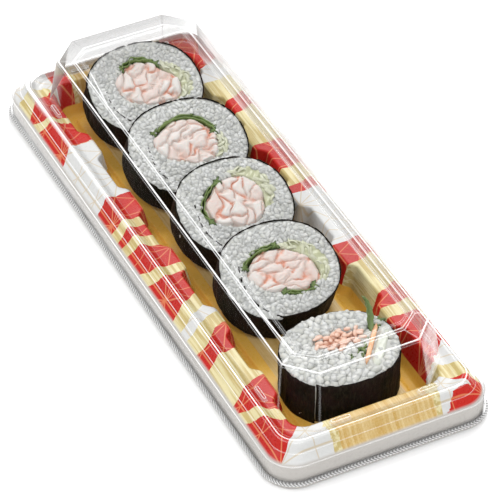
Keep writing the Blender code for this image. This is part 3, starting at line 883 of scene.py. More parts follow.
def ring_body(inner, outer, height, bump, seed, sink=0.0):
    """A closed body between two lines round a middle, one function of the angle each, raised to height.

    Its grid runs round the middle, and across it goes over the upper cut, down the outside, back along
    the lower cut and up the inside. bump is how uneven the cuts are.
    """
    angle = np.linspace(0, TAU, 180, endpoint=False)
    share = np.linspace(0, 1, 15)
    low, high = inner(angle), outer(angle)
    across = np.concatenate([share, [1.0] * 3, share[::-1], [0.0] * 3])
    level = np.concatenate([np.ones(15), [0.75, 0.5, 0.25], np.zeros(15), [0.25, 0.5, 0.75]])
    radius = low[:, None] + (high - low)[:, None] * across[None]
    middle = np.zeros(2)
    points = np.stack(
        [
            middle[0] + radius * np.cos(angle)[:, None],
            middle[1] + radius * np.sin(angle)[:, None],
            np.broadcast_to(level * (height - 2 * sink) + sink, radius.shape),
        ],
        -1,
    )
    uneven = ripple(points, 3.2, seed) + 0.6 * ripple(points, 1.7, seed + 1)
    edge = 1 - np.abs(across * 2 - 1) ** 8 * 0.8
    points[..., 2] += bump * uneven * edge * (np.where(level > 0.9, 1, 0) - np.where(level < 0.1, 1, 0))
    return outward(surface(points.transpose(1, 0, 2), wrap_rows=True, tone=0.5, lift=0.3))


def pebbles(middles, sizes, turns, squareness=2.0, seed=0, rows=5, columns=7, bend=0.0, cut=None):
    """Many small rounded bodies as one shape.

    Each is a superellipsoid: with p = 2 / squareness, the powers |cos|^p and |sin|^p of two angles times
    its half sizes. bend curves it along its length. turns are its matrices. cut = (side, level) pares each
    body off, side times level being the highest it may stand. Attributes: tone is a random number for
    each body, lift is how high a point is on it.
    """
    random = np.random.default_rng(seed)
    power = 2.0 / squareness
    tilt = np.linspace(-math.pi / 2, math.pi / 2, rows + 2)[1:-1, None]
    round_ = np.linspace(0, TAU, columns, endpoint=False)[None]

    def raised(value):
        return np.sign(value) * np.abs(value) ** power

    x = raised(np.sin(tilt)) + 0 * round_
    y = raised(np.cos(tilt)) * raised(np.cos(round_))
    z = raised(np.cos(tilt)) * raised(np.sin(round_))
    unit = np.concatenate([np.stack([x, y, z], -1).reshape(-1, 3), [[-1, 0, 0], [1, 0, 0]]])
    count, each = len(middles), len(unit)
    local = unit[None] * sizes[:, None]
    if bend:
        curve = random.uniform(-bend, bend, (count, 1))
        local[..., 1] += curve * local[..., 0] ** 2 / np.maximum(sizes[:, :1], 0.1)
    points = np.einsum("nij,nkj->nki", turns, local) + middles[:, None]
    if cut:
        side, level = cut
        over = points[..., 2] * side - level - random.uniform(-0.08, 0.12, (count, 1))
        points[..., 2] -= side * (over + np.sqrt(over * over + 0.01)) / 2
    quads = grid_faces(rows, columns)
    first = np.arange(columns)
    ends = np.concatenate(
        [
            np.stack([first, np.roll(first, -1), np.full(columns, rows * columns)], -1)[:, ::-1],
            np.stack([first, np.roll(first, -1), np.full(columns, rows * columns + 1)], -1)
            + np.array([(rows - 1) * columns, (rows - 1) * columns, 0]),
        ]
    )
    starts = (np.arange(count) * each)[:, None, None]
    tone = np.repeat(random.uniform(0, 1, count), each)
    lift = (points[..., 2] - points[..., 2].min(1, keepdims=True)) / np.maximum(np.ptp(points[..., 2], axis=1)[:, None], 1e-6)
    shape = {
        "points": points.reshape(-1, 3),
        "quads": (quads[None] + starts).reshape(-1, 4),
        "tris": (ends[None] + starts).reshape(-1, 3),
        "tone": tone,
        "lift": lift.reshape(-1),
    }
    return outward(shape)


def random_turns(random, count, heading, spread, tilt):
    """Matrices that turn a body's length to heading +- spread round Z and tip it by up to tilt."""
    a = heading + random.uniform(-spread, spread, count)
    b = random.uniform(-tilt, tilt, count)
    c = random.uniform(-0.6, 0.6, count)
    zero, one = np.zeros(count), np.ones(count)
    about_z = np.array([[np.cos(a), -np.sin(a), zero], [np.sin(a), np.cos(a), zero], [zero, zero, one]])
    about_y = np.array([[np.cos(b), zero, np.sin(b)], [zero, one, zero], [-np.sin(b), zero, np.cos(b)]])
    about_x = np.array([[one, zero, zero], [zero, np.cos(c), -np.sin(c)], [zero, np.sin(c), np.cos(c)]])
    return np.einsum("ijn,jkn,kln->nil", about_z, about_y, about_x)


def scatter(random, spacing, half_x, half_y):
    """Places on a staggered grid, each moved a little at random."""
    rows = int(2 * half_y / (spacing * 0.87)) + 2
    columns = int(2 * half_x / spacing) + 2
    row, column = np.meshgrid(np.arange(rows), np.arange(columns), indexing="ij")
    x = (column - columns / 2 + 0.5 * (row % 2)) * spacing
    y = (row - rows / 2) * spacing * 0.87
    places = np.stack([x, y], -1).reshape(-1, 2)
    return places + random.uniform(-0.38, 0.38, places.shape) * spacing


GRAIN_SPACING = 1.75
GRAIN_LONG = 1.75
GRAIN_WIDE = 1.1


def rice_shape(roll, inside, holes, height, seed, plump=1.0, proud=0.0, margin=0.78):
    """Rice: a core with uneven cuts, and grains half sunk in both of them.

    plump scales the grains, proud raises them, and margin is how near they come to the nori.
    """
    random = np.random.default_rng(seed)

    def outer(angle):
        turned = np.where(angle < roll["seam"], angle + TAU, angle)
        return sheet_radius(roll, turned) - NORI * 0.4

    body = ring_body(inside, outer, height, 0.22 + 0.5 * proud, seed, sink=0.3)
    shapes = [body]
    for side in (1, -1):
        places = scatter(random, GRAIN_SPACING * plump, roll["half_x"], roll["half_y"])
        angle = np.arctan2(places[:, 1], places[:, 0]) % TAU
        radius = np.hypot(places[:, 0], places[:, 1])
        room = outer(angle) - radius
        keep = (room > margin) & (radius - inside(angle) > 0.4)
        for hole in holes:
            keep &= ~hole(places)
        places = places[keep]
        count = len(places)
        depth = random.uniform(0.74, 1.08, count)
        long = random.uniform(0.75, 1.15, count) * GRAIN_LONG * plump
        wide = random.uniform(0.85, 1.2, count) * GRAIN_WIDE * plump
        near = np.clip(outer(angle[keep]) - radius[keep] + 0.6 * proud - 0.1, 0.9, 3.0)
        up = proud * (side > 0)
        middles = np.column_stack([places, (height + up if side > 0 else 0.0) - side * (depth * wide - 0.25)])
        sizes = np.column_stack([np.minimum(long, near), np.minimum(wide, near), wide * random.uniform(0.8, 0.95, count)])
        turns = random_turns(random, count, 0.0, math.pi, 0.3)
        cut = (side, height + 0.12 + 2 * up if side > 0 else 0.05)
        grains = pebbles(middles, sizes, turns, 2.3, seed + side, rows=5, columns=8, bend=0.12, cut=cut)
        shapes.append(grains)
    return joined(shapes)


def flakes_shape(core, height, seed, heading, pitch=6.4, stretch=2.1, relief=1.15):
    """Crab and shrimp: lumps packed side by side, the same on both cuts, with a crease between neighbours.

    Seeds lie on a staggered grid. At a point, d1 and d2 are its distances to the nearest and the second
    nearest seed, shorter along heading by stretch. The crease is exp(-(d2 - d1) / width), and the surface
    is lifted by relief where there is none, a little more or less on each lump.
    """
    random = np.random.default_rng(seed)
    angle = np.linspace(0, TAU, 150, endpoint=False)
    share = np.sqrt(np.linspace(0.0004, 1, 34))
    radius = core_radius(core, angle)[:, None] * (1 + 0.035 * np.sin(7 * angle + seed) + 0.03 * np.sin(4 * angle + 2 * seed))[:, None]
    plan = np.stack([radius * share * np.cos(angle)[:, None], radius * share * np.sin(angle)[:, None]], -1)
    way = np.array([math.cos(heading), math.sin(heading)])
    side = np.array([-way[1], way[0]])
    seeds = scatter(random, pitch, core["half_x"] + 6, core["half_y"] + 6)
    own = random.uniform(0, 1, len(seeds))

    def turned(places):
        return np.stack([places @ way / stretch, places @ side], -1)

    flat = np.concatenate([plan, 0 * plan[..., :1]], -1)
    bent = plan + 1.1 * np.stack([ripple(flat, 7.0, seed + 1), ripple(flat, 7.0, seed + 2)], -1)
    bent = bent + 0.22 * np.stack([ripple(flat, 2.2, seed + 4), ripple(flat, 2.2, seed + 5)], -1)
    away = np.linalg.norm(turned(bent)[:, :, None] - turned(seeds)[None, None], axis=-1)
    order = np.argsort(away, axis=-1)
    first = np.take_along_axis(away, order[..., :1], -1)[..., 0]
    second = np.take_along_axis(away, order[..., 1:2], -1)[..., 0]
    tone = own[order[..., 0]]
    crease = np.exp(-(second - first) / 0.6)
    rim = rounded((share[None] - 0.86) / 0.14) + 0 * radius
    fibre = ripple(np.concatenate([turned(bent) * np.array([0.25, 1.0]), 0 * flat[..., :1]], -1), 1.1, seed + 3)
    lift = 1 - crease
    rise = relief * (lift - 0.75 + 0.55 * (tone - 0.5) * lift) - 0.9 * rim**2 + 0.07 * fibre
    top = np.concatenate([plan, (height + rise)[..., None]], -1)
    bottom = np.concatenate([plan[:, ::-1], (-0.6 * rise)[:, ::-1, None]], -1)
    points = np.concatenate([bottom[:, ::-1], top[:, ::-1]], 1).transpose(1, 0, 2)
    points[..., :2] += core["middle"]
    values = [np.concatenate([value, value[:, ::-1]], 1).T for value in (tone, lift)]
    return outward(surface(points, caps=(0, -1), tone=values[0], lift=values[1]))


def ribbon(line, low, high, thick, frill, seed, lean=0.0):
    """An upright leaf edge: a plan line (n, 2) raised from low to high, frilled sideways near its top."""
    count = len(line)
    ahead = np.gradient(line, axis=0)
    normal = np.stack([ahead[:, 1], -ahead[:, 0]], -1) / np.linalg.norm(ahead, axis=1, keepdims=True)
    levels = np.linspace(0, 1, 9)
    across = np.concatenate([np.full(9, 0.5), np.full(9, -0.5)]) * thick
    level = np.concatenate([levels, levels[::-1]])
    along = np.linspace(0, count * 0.25, count)
    points = np.zeros((count, 18, 3))
    points[..., :2] = line[:, None] + normal[:, None] * across[None, :, None]
    up = low + (high - low) * level
    points[..., 2] = up[None]
    flat = np.stack([along[:, None] + 0 * up, 0.25 * up + 0 * along[:, None], 0 * points[..., 2]], -1)
    wave = ripple(flat, 4.0, seed) + 0.5 * ripple(flat, 2.0, seed + 1)
    points[..., :2] += normal[:, None] * (wave * frill * (0.25 + 0.75 * level**2) + lean * level**2)[..., None]
    points[..., 2] += 0.35 * ripple(flat, 3.0, seed + 2) * (level > 0.85)
    return outward(surface(points, caps=(0, -1), tone=0.5 + 0.5 * ripple(flat, 6.0, seed + 3), lift=level[None] + 0 * along[:, None]))


def arc_line(core, layer, share, count=60):
    """A line along a layer, share of the way from the filling to the rice."""
    angle = np.linspace(layer["start"], layer["end"], count)
    radius = core_radius(core, angle) + GAP + layer_thickness(layer, angle * 0.999) * share
    return core["middle"] + radius[:, None] * np.stack([np.cos(angle), np.sin(angle)], -1)


def layer_body(core, layer, height, seed):
    """The crescent between the filling and the rice, closed, with uneven cuts."""
    angle = np.linspace(layer["start"], layer["end"], 60)
    inner = core_radius(core, angle)
    outer = core_radius(core, angle) + GAP + layer_thickness(layer, angle * 0.999) + 0.2
    share = np.linspace(0, 1, 7)
    across = np.concatenate([share, share[::-1]])
    level = np.concatenate([np.ones(7), np.zeros(7)])
    radius = inner[:, None] + (outer - inner)[:, None] * across
    points = np.stack(
        [
            core["middle"][0] + radius * np.cos(angle)[:, None],
            core["middle"][1] + radius * np.sin(angle)[:, None],
            np.broadcast_to(0.4 + level * (height - 0.8), radius.shape),
        ],
        -1,
    )
    points[..., 2] += 0.25 * ripple(points, 2.6, seed) * (level * 2 - 1)
    return outward(surface(points, caps=(0, -1), tone=0.4, lift=0.2))


def leaf_patch(place, reach, height, seed):
    """A folded scrap of leaf on the cut: a disc (r, a) whose height and outline wave round it."""
    angle = np.linspace(0, TAU, 30, endpoint=False)[None]
    share = np.linspace(0.05, 1, 7)[:, None]
    wave = 1 + 0.28 * np.sin(3 * angle + seed) + 0.2 * np.sin(7 * angle + 2 * seed)
    flat = np.stack([share * np.cos(angle), share * np.sin(angle)], -1) * reach * wave[..., None]
    lift = height + 0.5 - 0.7 * share + 0.35 * np.sin(4 * angle + seed) * share
    over = np.concatenate([flat + place, lift[..., None]], -1)
    under = np.concatenate([flat + place, lift[..., None] - 0.5], -1)[::-1]
    points = np.concatenate([over, under])
    # Painted light: the upper face is lighter towards its middle, and the lower face takes the darkest colour.
    painted_brightness = np.concatenate([1 - share, share * 0])
    return outward(surface(points, caps=(0, -1), tone=0.4 + 0.3 * math.sin(seed), lift=painted_brightness))


def leaf_shape(core, layer, height, seed):
    """Leaf: frilled sheets along the crescent, their edges showing on both cuts, and scraps at its ends."""
    random = np.random.default_rng(seed)
    shapes = []
    for k, share in enumerate((0.15, 0.7)):
        line = arc_line(core, layer, share)[7 * k : 60 - 5 * (1 - k)]
        shapes.append(ribbon(line, 0.1, height + (0.4, 0.15)[k], 0.32, 0.4, seed + 7 * k))
    ends = arc_line(core, layer, 0.5)
    for k, reach in ((1, 1.5), (4, 1.0), (22, 0.6), (56, 1.0), (58, 1.4)):
        place = ends[k] + random.uniform(-0.5, 0.5, 2)
        shapes.append(leaf_patch(place, reach, height, seed + k))
    return joined(shapes)


def shred(points, wide, thick, turn):
    """A flat strip carried along a line of points (n, 3), turned about it by turn, with rounded ends."""
    count = len(points)
    ahead = np.gradient(points, axis=0)
    ahead /= np.linalg.norm(ahead, axis=1, keepdims=True)
    up = np.array([0.0, 0.0, 1.0])
    side = np.cross(ahead, up)
    side /= np.maximum(np.linalg.norm(side, axis=1, keepdims=True), 1e-6)
    over = np.cross(side, ahead)
    side, over = (
        side * np.cos(turn)[:, None] + over * np.sin(turn)[:, None],
        over * np.cos(turn)[:, None] - side * np.sin(turn)[:, None],
    )
    narrow = np.sqrt(np.clip(1 - np.linspace(-1, 1, count) ** 6, 0.05, 1))
    around = np.linspace(0, TAU, 6, endpoint=False)
    ring = (
        points[:, None]
        + side[:, None] * (np.cos(around) * wide)[None, :, None] * narrow[:, None, None]
        + over[:, None] * (np.sin(around) * thick)[None, :, None] * narrow[:, None, None]
    )
    return outward(surface(ring, caps=(0, -1)))


def shreds_shape(inside, count, height, seed, long, wide, thick, above=0.9):
    """Shreds of cabbage: curved strips thrown over the cut at random places that inside() allows."""
    random = np.random.default_rng(seed)
    shapes = []
    while len(shapes) < count:
        middle, heading = inside(random)
        length = random.uniform(0.6, 1.2) * long
        share = np.linspace(-0.5, 0.5, 9)
        curve = random.uniform(-0.25, 0.25) * length
        local = np.stack([share * length, curve * (share * share * 4 - 0.3)], -1)
        turn = np.array([[math.cos(heading), -math.sin(heading)], [math.sin(heading), math.cos(heading)]])
        plan = middle + local @ turn.T
        up = height + random.uniform(-0.4, above) - 1.2 * (share * 2) ** 2 * random.uniform(0.2, 1.0)
        strip = shred(np.column_stack([plan, up]), wide * random.uniform(0.7, 1.2), thick, random.uniform(-0.8, 0.8) + share * random.uniform(-1.5, 1.5))
        strip["tone"] = np.full(len(strip["points"]), random.uniform(0, 1))
        strip["lift"] = np.full(len(strip["points"]), 0.7)
        shapes.append(strip)
    return joined(shapes)


def cabbage_shape(core, layer, height, seed, count=20):
    def inside(random):
        angle = random.uniform(layer["start"] + 0.08, layer["end"] - 0.08)
        reach = core_radius(core, angle) + GAP + layer_thickness(layer, angle) * random.uniform(0.1, 0.95)
        place = core["middle"] + reach * np.array([math.cos(angle), math.sin(angle)])
        return place, angle + math.pi / 2 + random.uniform(-0.9, 0.9)

    over = shreds_shape(inside, count, height, seed, 4.6, 0.8, 0.3, above=0.3)
    under = shreds_shape(inside, count // 2, 0.0, seed + 1, 4.6, 0.8, 0.3, above=0.2)
    return joined([layer_body(core, layer, height, seed + 2), over, under])


# ------------------------------------------------------------------ food finishes


def food_paint(name, low, middle, high, rough, speck, scale, depth, gloss=0.0, soft=0.0):
    """Food from three colours, low in its creases and lower down and high on its tops, with specks and a fine
    unevenness.
    The low colour is painted shade, for the crab also its red skin, and the high colour painted light, both mixed with
    a random tone.
    """
    paint, tree = begin(name)
    x, y, z = tree.place()
    where = tree.spread(x, y, z)
    tone = tree.attribute("tone")
    lift = tree.attribute("lift")
    cloud = tree.clouds(where, scale, 3.0)
    # The height on each body, lift, paints shade low down and light on the tops; tone and cloud vary it at random.
    mix = lift * 0.55 + tone * 0.25 + cloud * 0.35
    colour = mix.above(0.62, 0.5).blend(mix.above(0.28, 0.35).blend(low, middle), high)
    fleck = tree.clouds(where, scale * 3, 2.0).above(0.64, 0.1)
    colour = (fleck * 0.5).blend(colour, speck)
    shader = principled(tree, colour, rough, tree.clouds(where, scale * 2.2, 3.0), depth, **{"Coat Weight": gloss, "Subsurface Weight": soft, "Subsurface Scale": 0.002})
    finish_paint(tree, shader)
    return paint


def seafood_paint():
    """Crab and shrimp: nearly white flesh, pink towards the creases and orange-red in some of them."""
    paint, tree = begin("crab_and_shrimp")
    x, y, z = tree.place()
    where = tree.spread(x, y, z)
    tone = tree.attribute("tone")
    lift = tree.attribute("lift")
    cloud = tree.clouds(where, 0.16, 2.0)
    flesh = (tone * 0.5 + cloud * 0.6).above(0.58, 0.5).blend(FLESH_PINK, FLESH_WHITE)
    crease = lift.below(0.66, 0.5)
    red = cloud.above(0.52, 0.14)
    colour = (crease * (red * 0.45 + 0.4)).blend(flesh, red.blend(CREASE_PALE, CREASE_RED))
    fibre = tree.clouds(where, 1.1, 3.0)
    colour = (fibre.above(0.6, 0.2) * 0.35).blend(colour, FLESH_PINK)
    sockets = {"Subsurface Weight": 0.25, "Subsurface Radius": (1.0, 0.5, 0.4), "Subsurface Scale": 0.0015}
    finish_paint(tree, principled(tree, colour, 0.4, fibre, 0.00015, **sockets))
    return paint


FLESH_WHITE = (0.66, 0.635, 0.605)
FLESH_PINK = (0.65, 0.545, 0.50)
CREASE_PALE = (0.60, 0.43, 0.36)
CREASE_RED = (0.64, 0.24, 0.14)


def rice_paint():
    """Cooked rice, pressed and cut: pale grains, greyer between them, with a few small dark pits. The grey is partly a
    random tone and partly painted shade low between the grains, and the pits are painted shade.
    """
    paint, tree = begin("cooked_rice")
    x, y, z = tree.place()
    where = tree.spread(x, y, z)
    tone = tree.attribute("tone")
    lift = tree.attribute("lift")
    cloud = tree.clouds(where, 0.22, 3.0)
    # The grains' height, lift, paints shade low between them; tone and cloud vary it at random.
    level = (lift * 0.3 + tone * 0.5 + cloud * 0.5).above(0.64, 0.7)
    colour = level.blend(RICE_LOW, RICE_HIGH)
    # Small dark pits of painted shade.
    cells = tree.node("ShaderNodeTexVoronoi", None, {"Vector": where, "Scale": 0.42}, out="Distance")
    pit_shade = cells.below(0.13, 0.08) * tree.clouds(where, 0.13, 1.0).above(0.5, 0.1)
    colour = (pit_shade * 0.75).blend(colour, RICE_PIT_SHADE)
    sockets = {"Subsurface Weight": 0.5, "Subsurface Radius": (1.0, 0.95, 0.85), "Subsurface Scale": 0.0015}
    finish_paint(tree, principled(tree, colour, 0.4, tree.clouds(where, 1.2, 3.0), 0.00012, **sockets))
    return paint


RICE_HIGH = (0.665, 0.665, 0.635)
RICE_LOW = (0.43, 0.435, 0.40)
RICE_PIT_SHADE = (0.14, 0.15, 0.11)


def nori_paint():
    """Roasted seaweed: near black with green and purple-brown clouds, fine ridges and a dull shine."""
    paint, tree = begin("roasted_nori")
    x, y, z = tree.place()
    where = tree.spread(x, y, z)
    broad = tree.clouds(where, 0.12, 3.0)
    fine = tree.clouds(tree.spread(x, y, z * 0.35), 1.4, 4.0)
    colour = broad.above(0.5, 0.3).blend((0.007, 0.008, 0.005), (0.022, 0.012, 0.012))
    colour = (fine.above(0.56, 0.16) * 0.6).blend(colour, (0.030, 0.026, 0.018))
    sockets = {"Specular IOR Level": 0.03}
    shader = principled(tree, colour, 0.38 + fine * 0.2, fine + broad * 0.5, 0.0005, **sockets)
    finish_paint(tree, shader)
    return paint


SLICES = {
    1: {
        "x": 1.4,
        "roll": spiral(23.2, 20.6, 172, 262, 6.0),
        "core": filling(1.0, 0.6, 12.6, 9.4, -28, 0.05, 0.4),
        "leaf": wrap(48, 128, 0.5, 1.7),
        "cabbage": wrap(-48, 40, 0.5, 4.6),
        "heading": 0.9,
    },
    2: {
        "x": 0.8,
        "roll": spiral(23.8, 20.6, 166, 250, 7.0),
        "core": filling(0.2, 1.2, 12.2, 9.6, -20, 0.06, 2.2),
        "leaf": wrap(2, 150, 0.5, 1.6),
        "cabbage": wrap(-50, -4, 0.5, 2.4),
        "heading": 0.5,
    },
    3: {
        "x": 1.2,
        "roll": spiral(22.8, 20.6, 162, 245, 6.4),
        "core": filling(0.6, 0.8, 11.6, 10.2, 20, 0.05, 4.0),
        "leaf": wrap(108, 205, 0.5, 1.8),
        "cabbage": wrap(-30, 78, 0.5, 4.4),
        "heading": 1.2,
    },
    4: {
        "x": -0.2,
        "roll": spiral(22.9, 20.4, 158, 247, 6.6),
        "core": filling(0.6, -1.0, 13.2, 8.8, -18, 0.05, 1.2),
        "leaf": wrap(82, 160, 0.5, 2.0),
        "cabbage": wrap(-36, 74, 0.5, 5.0),
        "leaf_low": wrap(-112, -48, 0.5, 1.4),
        "heading": 0.1,
    },
}
SLICE_PITCH = 38.3
FIRST_SLICE_Y = 79.0


def around_middle(core, extra):
    """The line extra(angle) outside the filling, as a radius round the slice's own middle."""
    angle = np.linspace(0, TAU, 361)
    line = core["middle"] + (core_radius(core, angle) + extra(angle))[:, None] * np.stack([np.cos(angle), np.sin(angle)], -1)
    seen = np.arctan2(line[:, 1], line[:, 0]) % TAU
    order = np.argsort(seen)
    seen, radius = seen[order], np.hypot(line[:, 0], line[:, 1])[order]

    def found(at):
        return np.interp(at % TAU, seen, radius, period=TAU)

    return found


def make_slices(paints):
    for number, sizes in SLICES.items():
        y = FIRST_SLICE_Y - (number - 1) * SLICE_PITCH
        start, turn = leaning(number, sizes, y)
        roll, core = sizes["roll"], sizes["core"]
        layers = [value for key, value in sizes.items() if key.startswith(("leaf", "cabbage"))]

        def extra(angle, layers=layers):
            return 0.2 + sum(layer_thickness(layer, angle) for layer in layers)

        node = f"roll_{number}"
        seed = 100 * number
        sheet = nori_shape(roll, SLICE, seed)
        rice = rice_shape(roll, around_middle(core, extra), [], SLICE, seed + 10)
        flakes = flakes_shape(core, SLICE, seed + 27, sizes["heading"])
        build(f"slice_{number}_nori", placed(sheet, start, turn), paints["nori"], [f"{node}_nori"])
        build(f"slice_{number}_rice", placed(rice, start, turn), paints["rice"], [f"{node}_rice"])
        build(f"slice_{number}_filling", placed(flakes, start, turn), paints["seafood"], [f"{node}_seafood"])
        for key, layer in sizes.items():
            if key.startswith("leaf"):
                shape = leaf_shape(core, layer, SLICE, seed + 30)
                build(f"slice_{number}_{key}", placed(shape, start, turn), paints["leaf"], [f"{node}_{key}"])
        shape = cabbage_shape(core, sizes["cabbage"], SLICE, seed + 40)
        build(f"slice_{number}_cabbage", placed(shape, start, turn), paints["cabbage"], [f"{node}_cabbage"])


END_X = 0.9
END_Y = -79.6
END_ROLL = spiral(22.0, 19.4, 140, 218, 6.6)
END_CORE = filling(1.0, 3.6, 7.8, 4.0, -6, 0.04, 0.6)
STRIPS_MIDDLE = np.array([11.0, -3.8])
STRIPS_TURN = math.radians(-38)
STRIPS_LENGTH = 22.0
STRIPS = {"leaf": (-3.2, 1.3), "carrot": (-1.1, 2.2), "cucumber": (2.2, 3.6)}


def in_strips(places):
    """Whether a place lies in the slot that holds the leaf, the carrot and the cucumber."""
    along = np.array([math.sin(STRIPS_TURN), -math.cos(STRIPS_TURN)])
    side = np.array([math.cos(STRIPS_TURN), math.sin(STRIPS_TURN)])
    away = places - STRIPS_MIDDLE
    return (np.abs(away @ along) < STRIPS_LENGTH / 2 + 0.3) & (np.abs(away @ side - 0.2) < 4.4)


def strip_bar(shift, wide, height, seed, rise=0.4):
    """A straight stick of vegetable, squarish in section, standing through the whole slice."""
    along = np.array([math.sin(STRIPS_TURN), -math.cos(STRIPS_TURN)])
    side = np.array([math.cos(STRIPS_TURN), math.sin(STRIPS_TURN)])
    length = STRIPS_LENGTH - abs(shift) * 1.3
    angle = np.linspace(0, TAU, 72, endpoint=False)
    radius = oval(length / 2, wide / 2, angle, 4.0)
    plan = STRIPS_MIDDLE + side * shift + radius[:, None] * (
        np.cos(angle)[:, None] * along + np.sin(angle)[:, None] * side
    )
    middle = STRIPS_MIDDLE + side * shift
    rows = []
    for share, level in ((0.0, 0.0), (0.5, 0.0), (0.95, 0.05), (1.0, 0.4)):
        rows.append((share, level))
    for k in range(1, 8):
        rows.append((1.0, 0.4 + (height - 0.8) * k / 8))
    rows += [(1.0, height + rise - 0.5), (0.94, height + rise - 0.1), (0.6, height + rise), (0.3, height + rise), (0.02, height + rise)]
    points = np.stack([np.column_stack([middle + (plan - middle) * max(share, 0.02), np.full(len(plan), level)]) for share, level in rows])
    uneven = ripple(points, 4.0, seed)
    points[..., 2] += 0.3 * uneven * (np.array([level for _, level in rows]) > height / 2)[:, None]
    points[..., :2] += 0.15 * uneven[..., None]
    lift = np.array([level / height for _, level in rows])[:, None]
    return outward(surface(points, caps=(0, -1), tone=0.5, lift=lift))


# Folded leaf on the end piece's cut: places and how far each scrap reaches.
END_PATCHES = [((0.0, -5.4), 2.2), ((3.6, -4.6), 2.4), ((6.4, -4.0), 1.5), ((16.0, 4.0), 1.2), ((18.6, 6.6), 1.5)]
BLADE_ROOT = 3.0
BLADE_FOOT = 7.5
BLADE_HEIGHT = 9.0
BLADE_OUT = 6.0
BLADE_CURL = 3.6
BLADE_FREE = 0.3
BLADE_TWIST = math.radians(75)
BLADE_HALF_WIDTH = 2.1


def blade_shape():
    """The standing leaf tip: a strip that rises, turns and curls back while it narrows, frilled at its sides."""
    along = np.array([math.sin(STRIPS_TURN), -math.cos(STRIPS_TURN), 0.0])
    side = np.array([math.cos(STRIPS_TURN), math.sin(STRIPS_TURN), 0.0])
    share = np.linspace(0, 1, 40)[:, None]
    free = np.clip((share - BLADE_FREE) / (1 - BLADE_FREE), 0, 1)
    middle = np.array([*STRIPS_MIDDLE, END_PIECE - BLADE_ROOT]) + side * STRIPS["leaf"][0] - along * BLADE_FOOT
    middle = middle + np.array([0.0, 0.0, 1.0]) * (BLADE_ROOT + BLADE_HEIGHT) * share
    middle = middle - along * BLADE_OUT * np.sin(free * math.pi / 2) - side * BLADE_CURL * free**2
    turn = BLADE_TWIST * (0.4 + 0.6 * np.sqrt(free))
    wide = (along * np.cos(turn) + side * np.sin(turn)) * BLADE_HALF_WIDTH * (1 - 0.65 * share**2)
    thin = (side * np.cos(turn) - along * np.sin(turn)) * 0.25
    angle = np.linspace(0, TAU, 20, endpoint=False)
    frill = 1 + 0.12 * np.sin(share * 37)
    across, over = np.cos(angle)[None, :, None], np.sin(angle)[None, :, None]
    fold = 1.2 * np.abs(across) - 0.4
    points = middle[:, None] + (wide * frill)[:, None] * across + thin[:, None] * (over + fold)
    lift = 0.35 + 0.5 * np.abs(np.cos(angle))[None] + 0 * share
    return outward(surface(points, caps=(0, -1), tone=0.4, lift=lift))


STREWN = 34
STREWN_REACH = np.array([9.6, 5.2])


def strewn_flakes(height, seed):
    """Small flat flakes of crab thrown over and round the end piece's filling, evenly over an ellipse."""
    random = np.random.default_rng(seed)
    angle = random.uniform(0, TAU, STREWN)
    reach = np.sqrt(random.uniform(0, 1, STREWN))[:, None]
    places = END_CORE["middle"] + reach * STREWN_REACH * np.stack([np.cos(angle), np.sin(angle)], -1)
    middles = np.column_stack([places, height + random.uniform(0.3, 0.9, STREWN)])
    sizes = random.uniform(0.8, 1.2, (STREWN, 1)) * np.array([1.5, 0.85, 0.5])
    return pebbles(middles, sizes, random_turns(random, STREWN, 0.3, 0.9, 0.4), 2.6, seed, rows=5, columns=8, bend=0.1)


def make_end_piece(paints):
    start = np.array([END_X, END_Y, FLOOR_TOP + GAP])
    turn = np.eye(3)
    height = END_PIECE
    sheet = nori_shape(END_ROLL, height - 0.5, 500)
    inside = around_middle(END_CORE, lambda angle: 0.2 + 0 * angle)
    rice = rice_shape(END_ROLL, inside, [in_strips], height, 510, 1.25, 0.5, 0.55)
    flakes = joined([flakes_shape(END_CORE, height, 520, 0.1, 3.0, 1.5, 1.8), strewn_flakes(height, 525)])
    build("end_piece_nori", placed(sheet, start, turn), paints["nori"], ["roll_5_nori"])
    build("end_piece_rice", placed(rice, start, turn), paints["rice"], ["roll_5_rice"])
    build("end_piece_filling", placed(flakes, start, turn), paints["crab"], ["roll_5_seafood"])
    for key, narrow, rise in (("carrot", 0.75, 1.0), ("cucumber", 1.0, 0.1)):
        shift, wide = STRIPS[key]
        shape = strip_bar(shift, wide * narrow, height, 530 + len(key), rise)
        build(f"end_piece_{key}", placed(shape, start, turn), paints[key], [f"roll_5_{key}"])
    shift, wide = STRIPS["leaf"]
    patches = [leaf_patch(np.array(place), reach, height, 551 + k) for k, (place, reach) in enumerate(END_PATCHES)]
    shape = joined([strip_bar(shift, wide, height, 550, -0.2), blade_shape()] + patches)
    build("end_piece_leaf", placed(shape, start, turn), paints["leaf"], ["roll_5_leaf"])


# ------------------------------------------------------- floor, light and camera


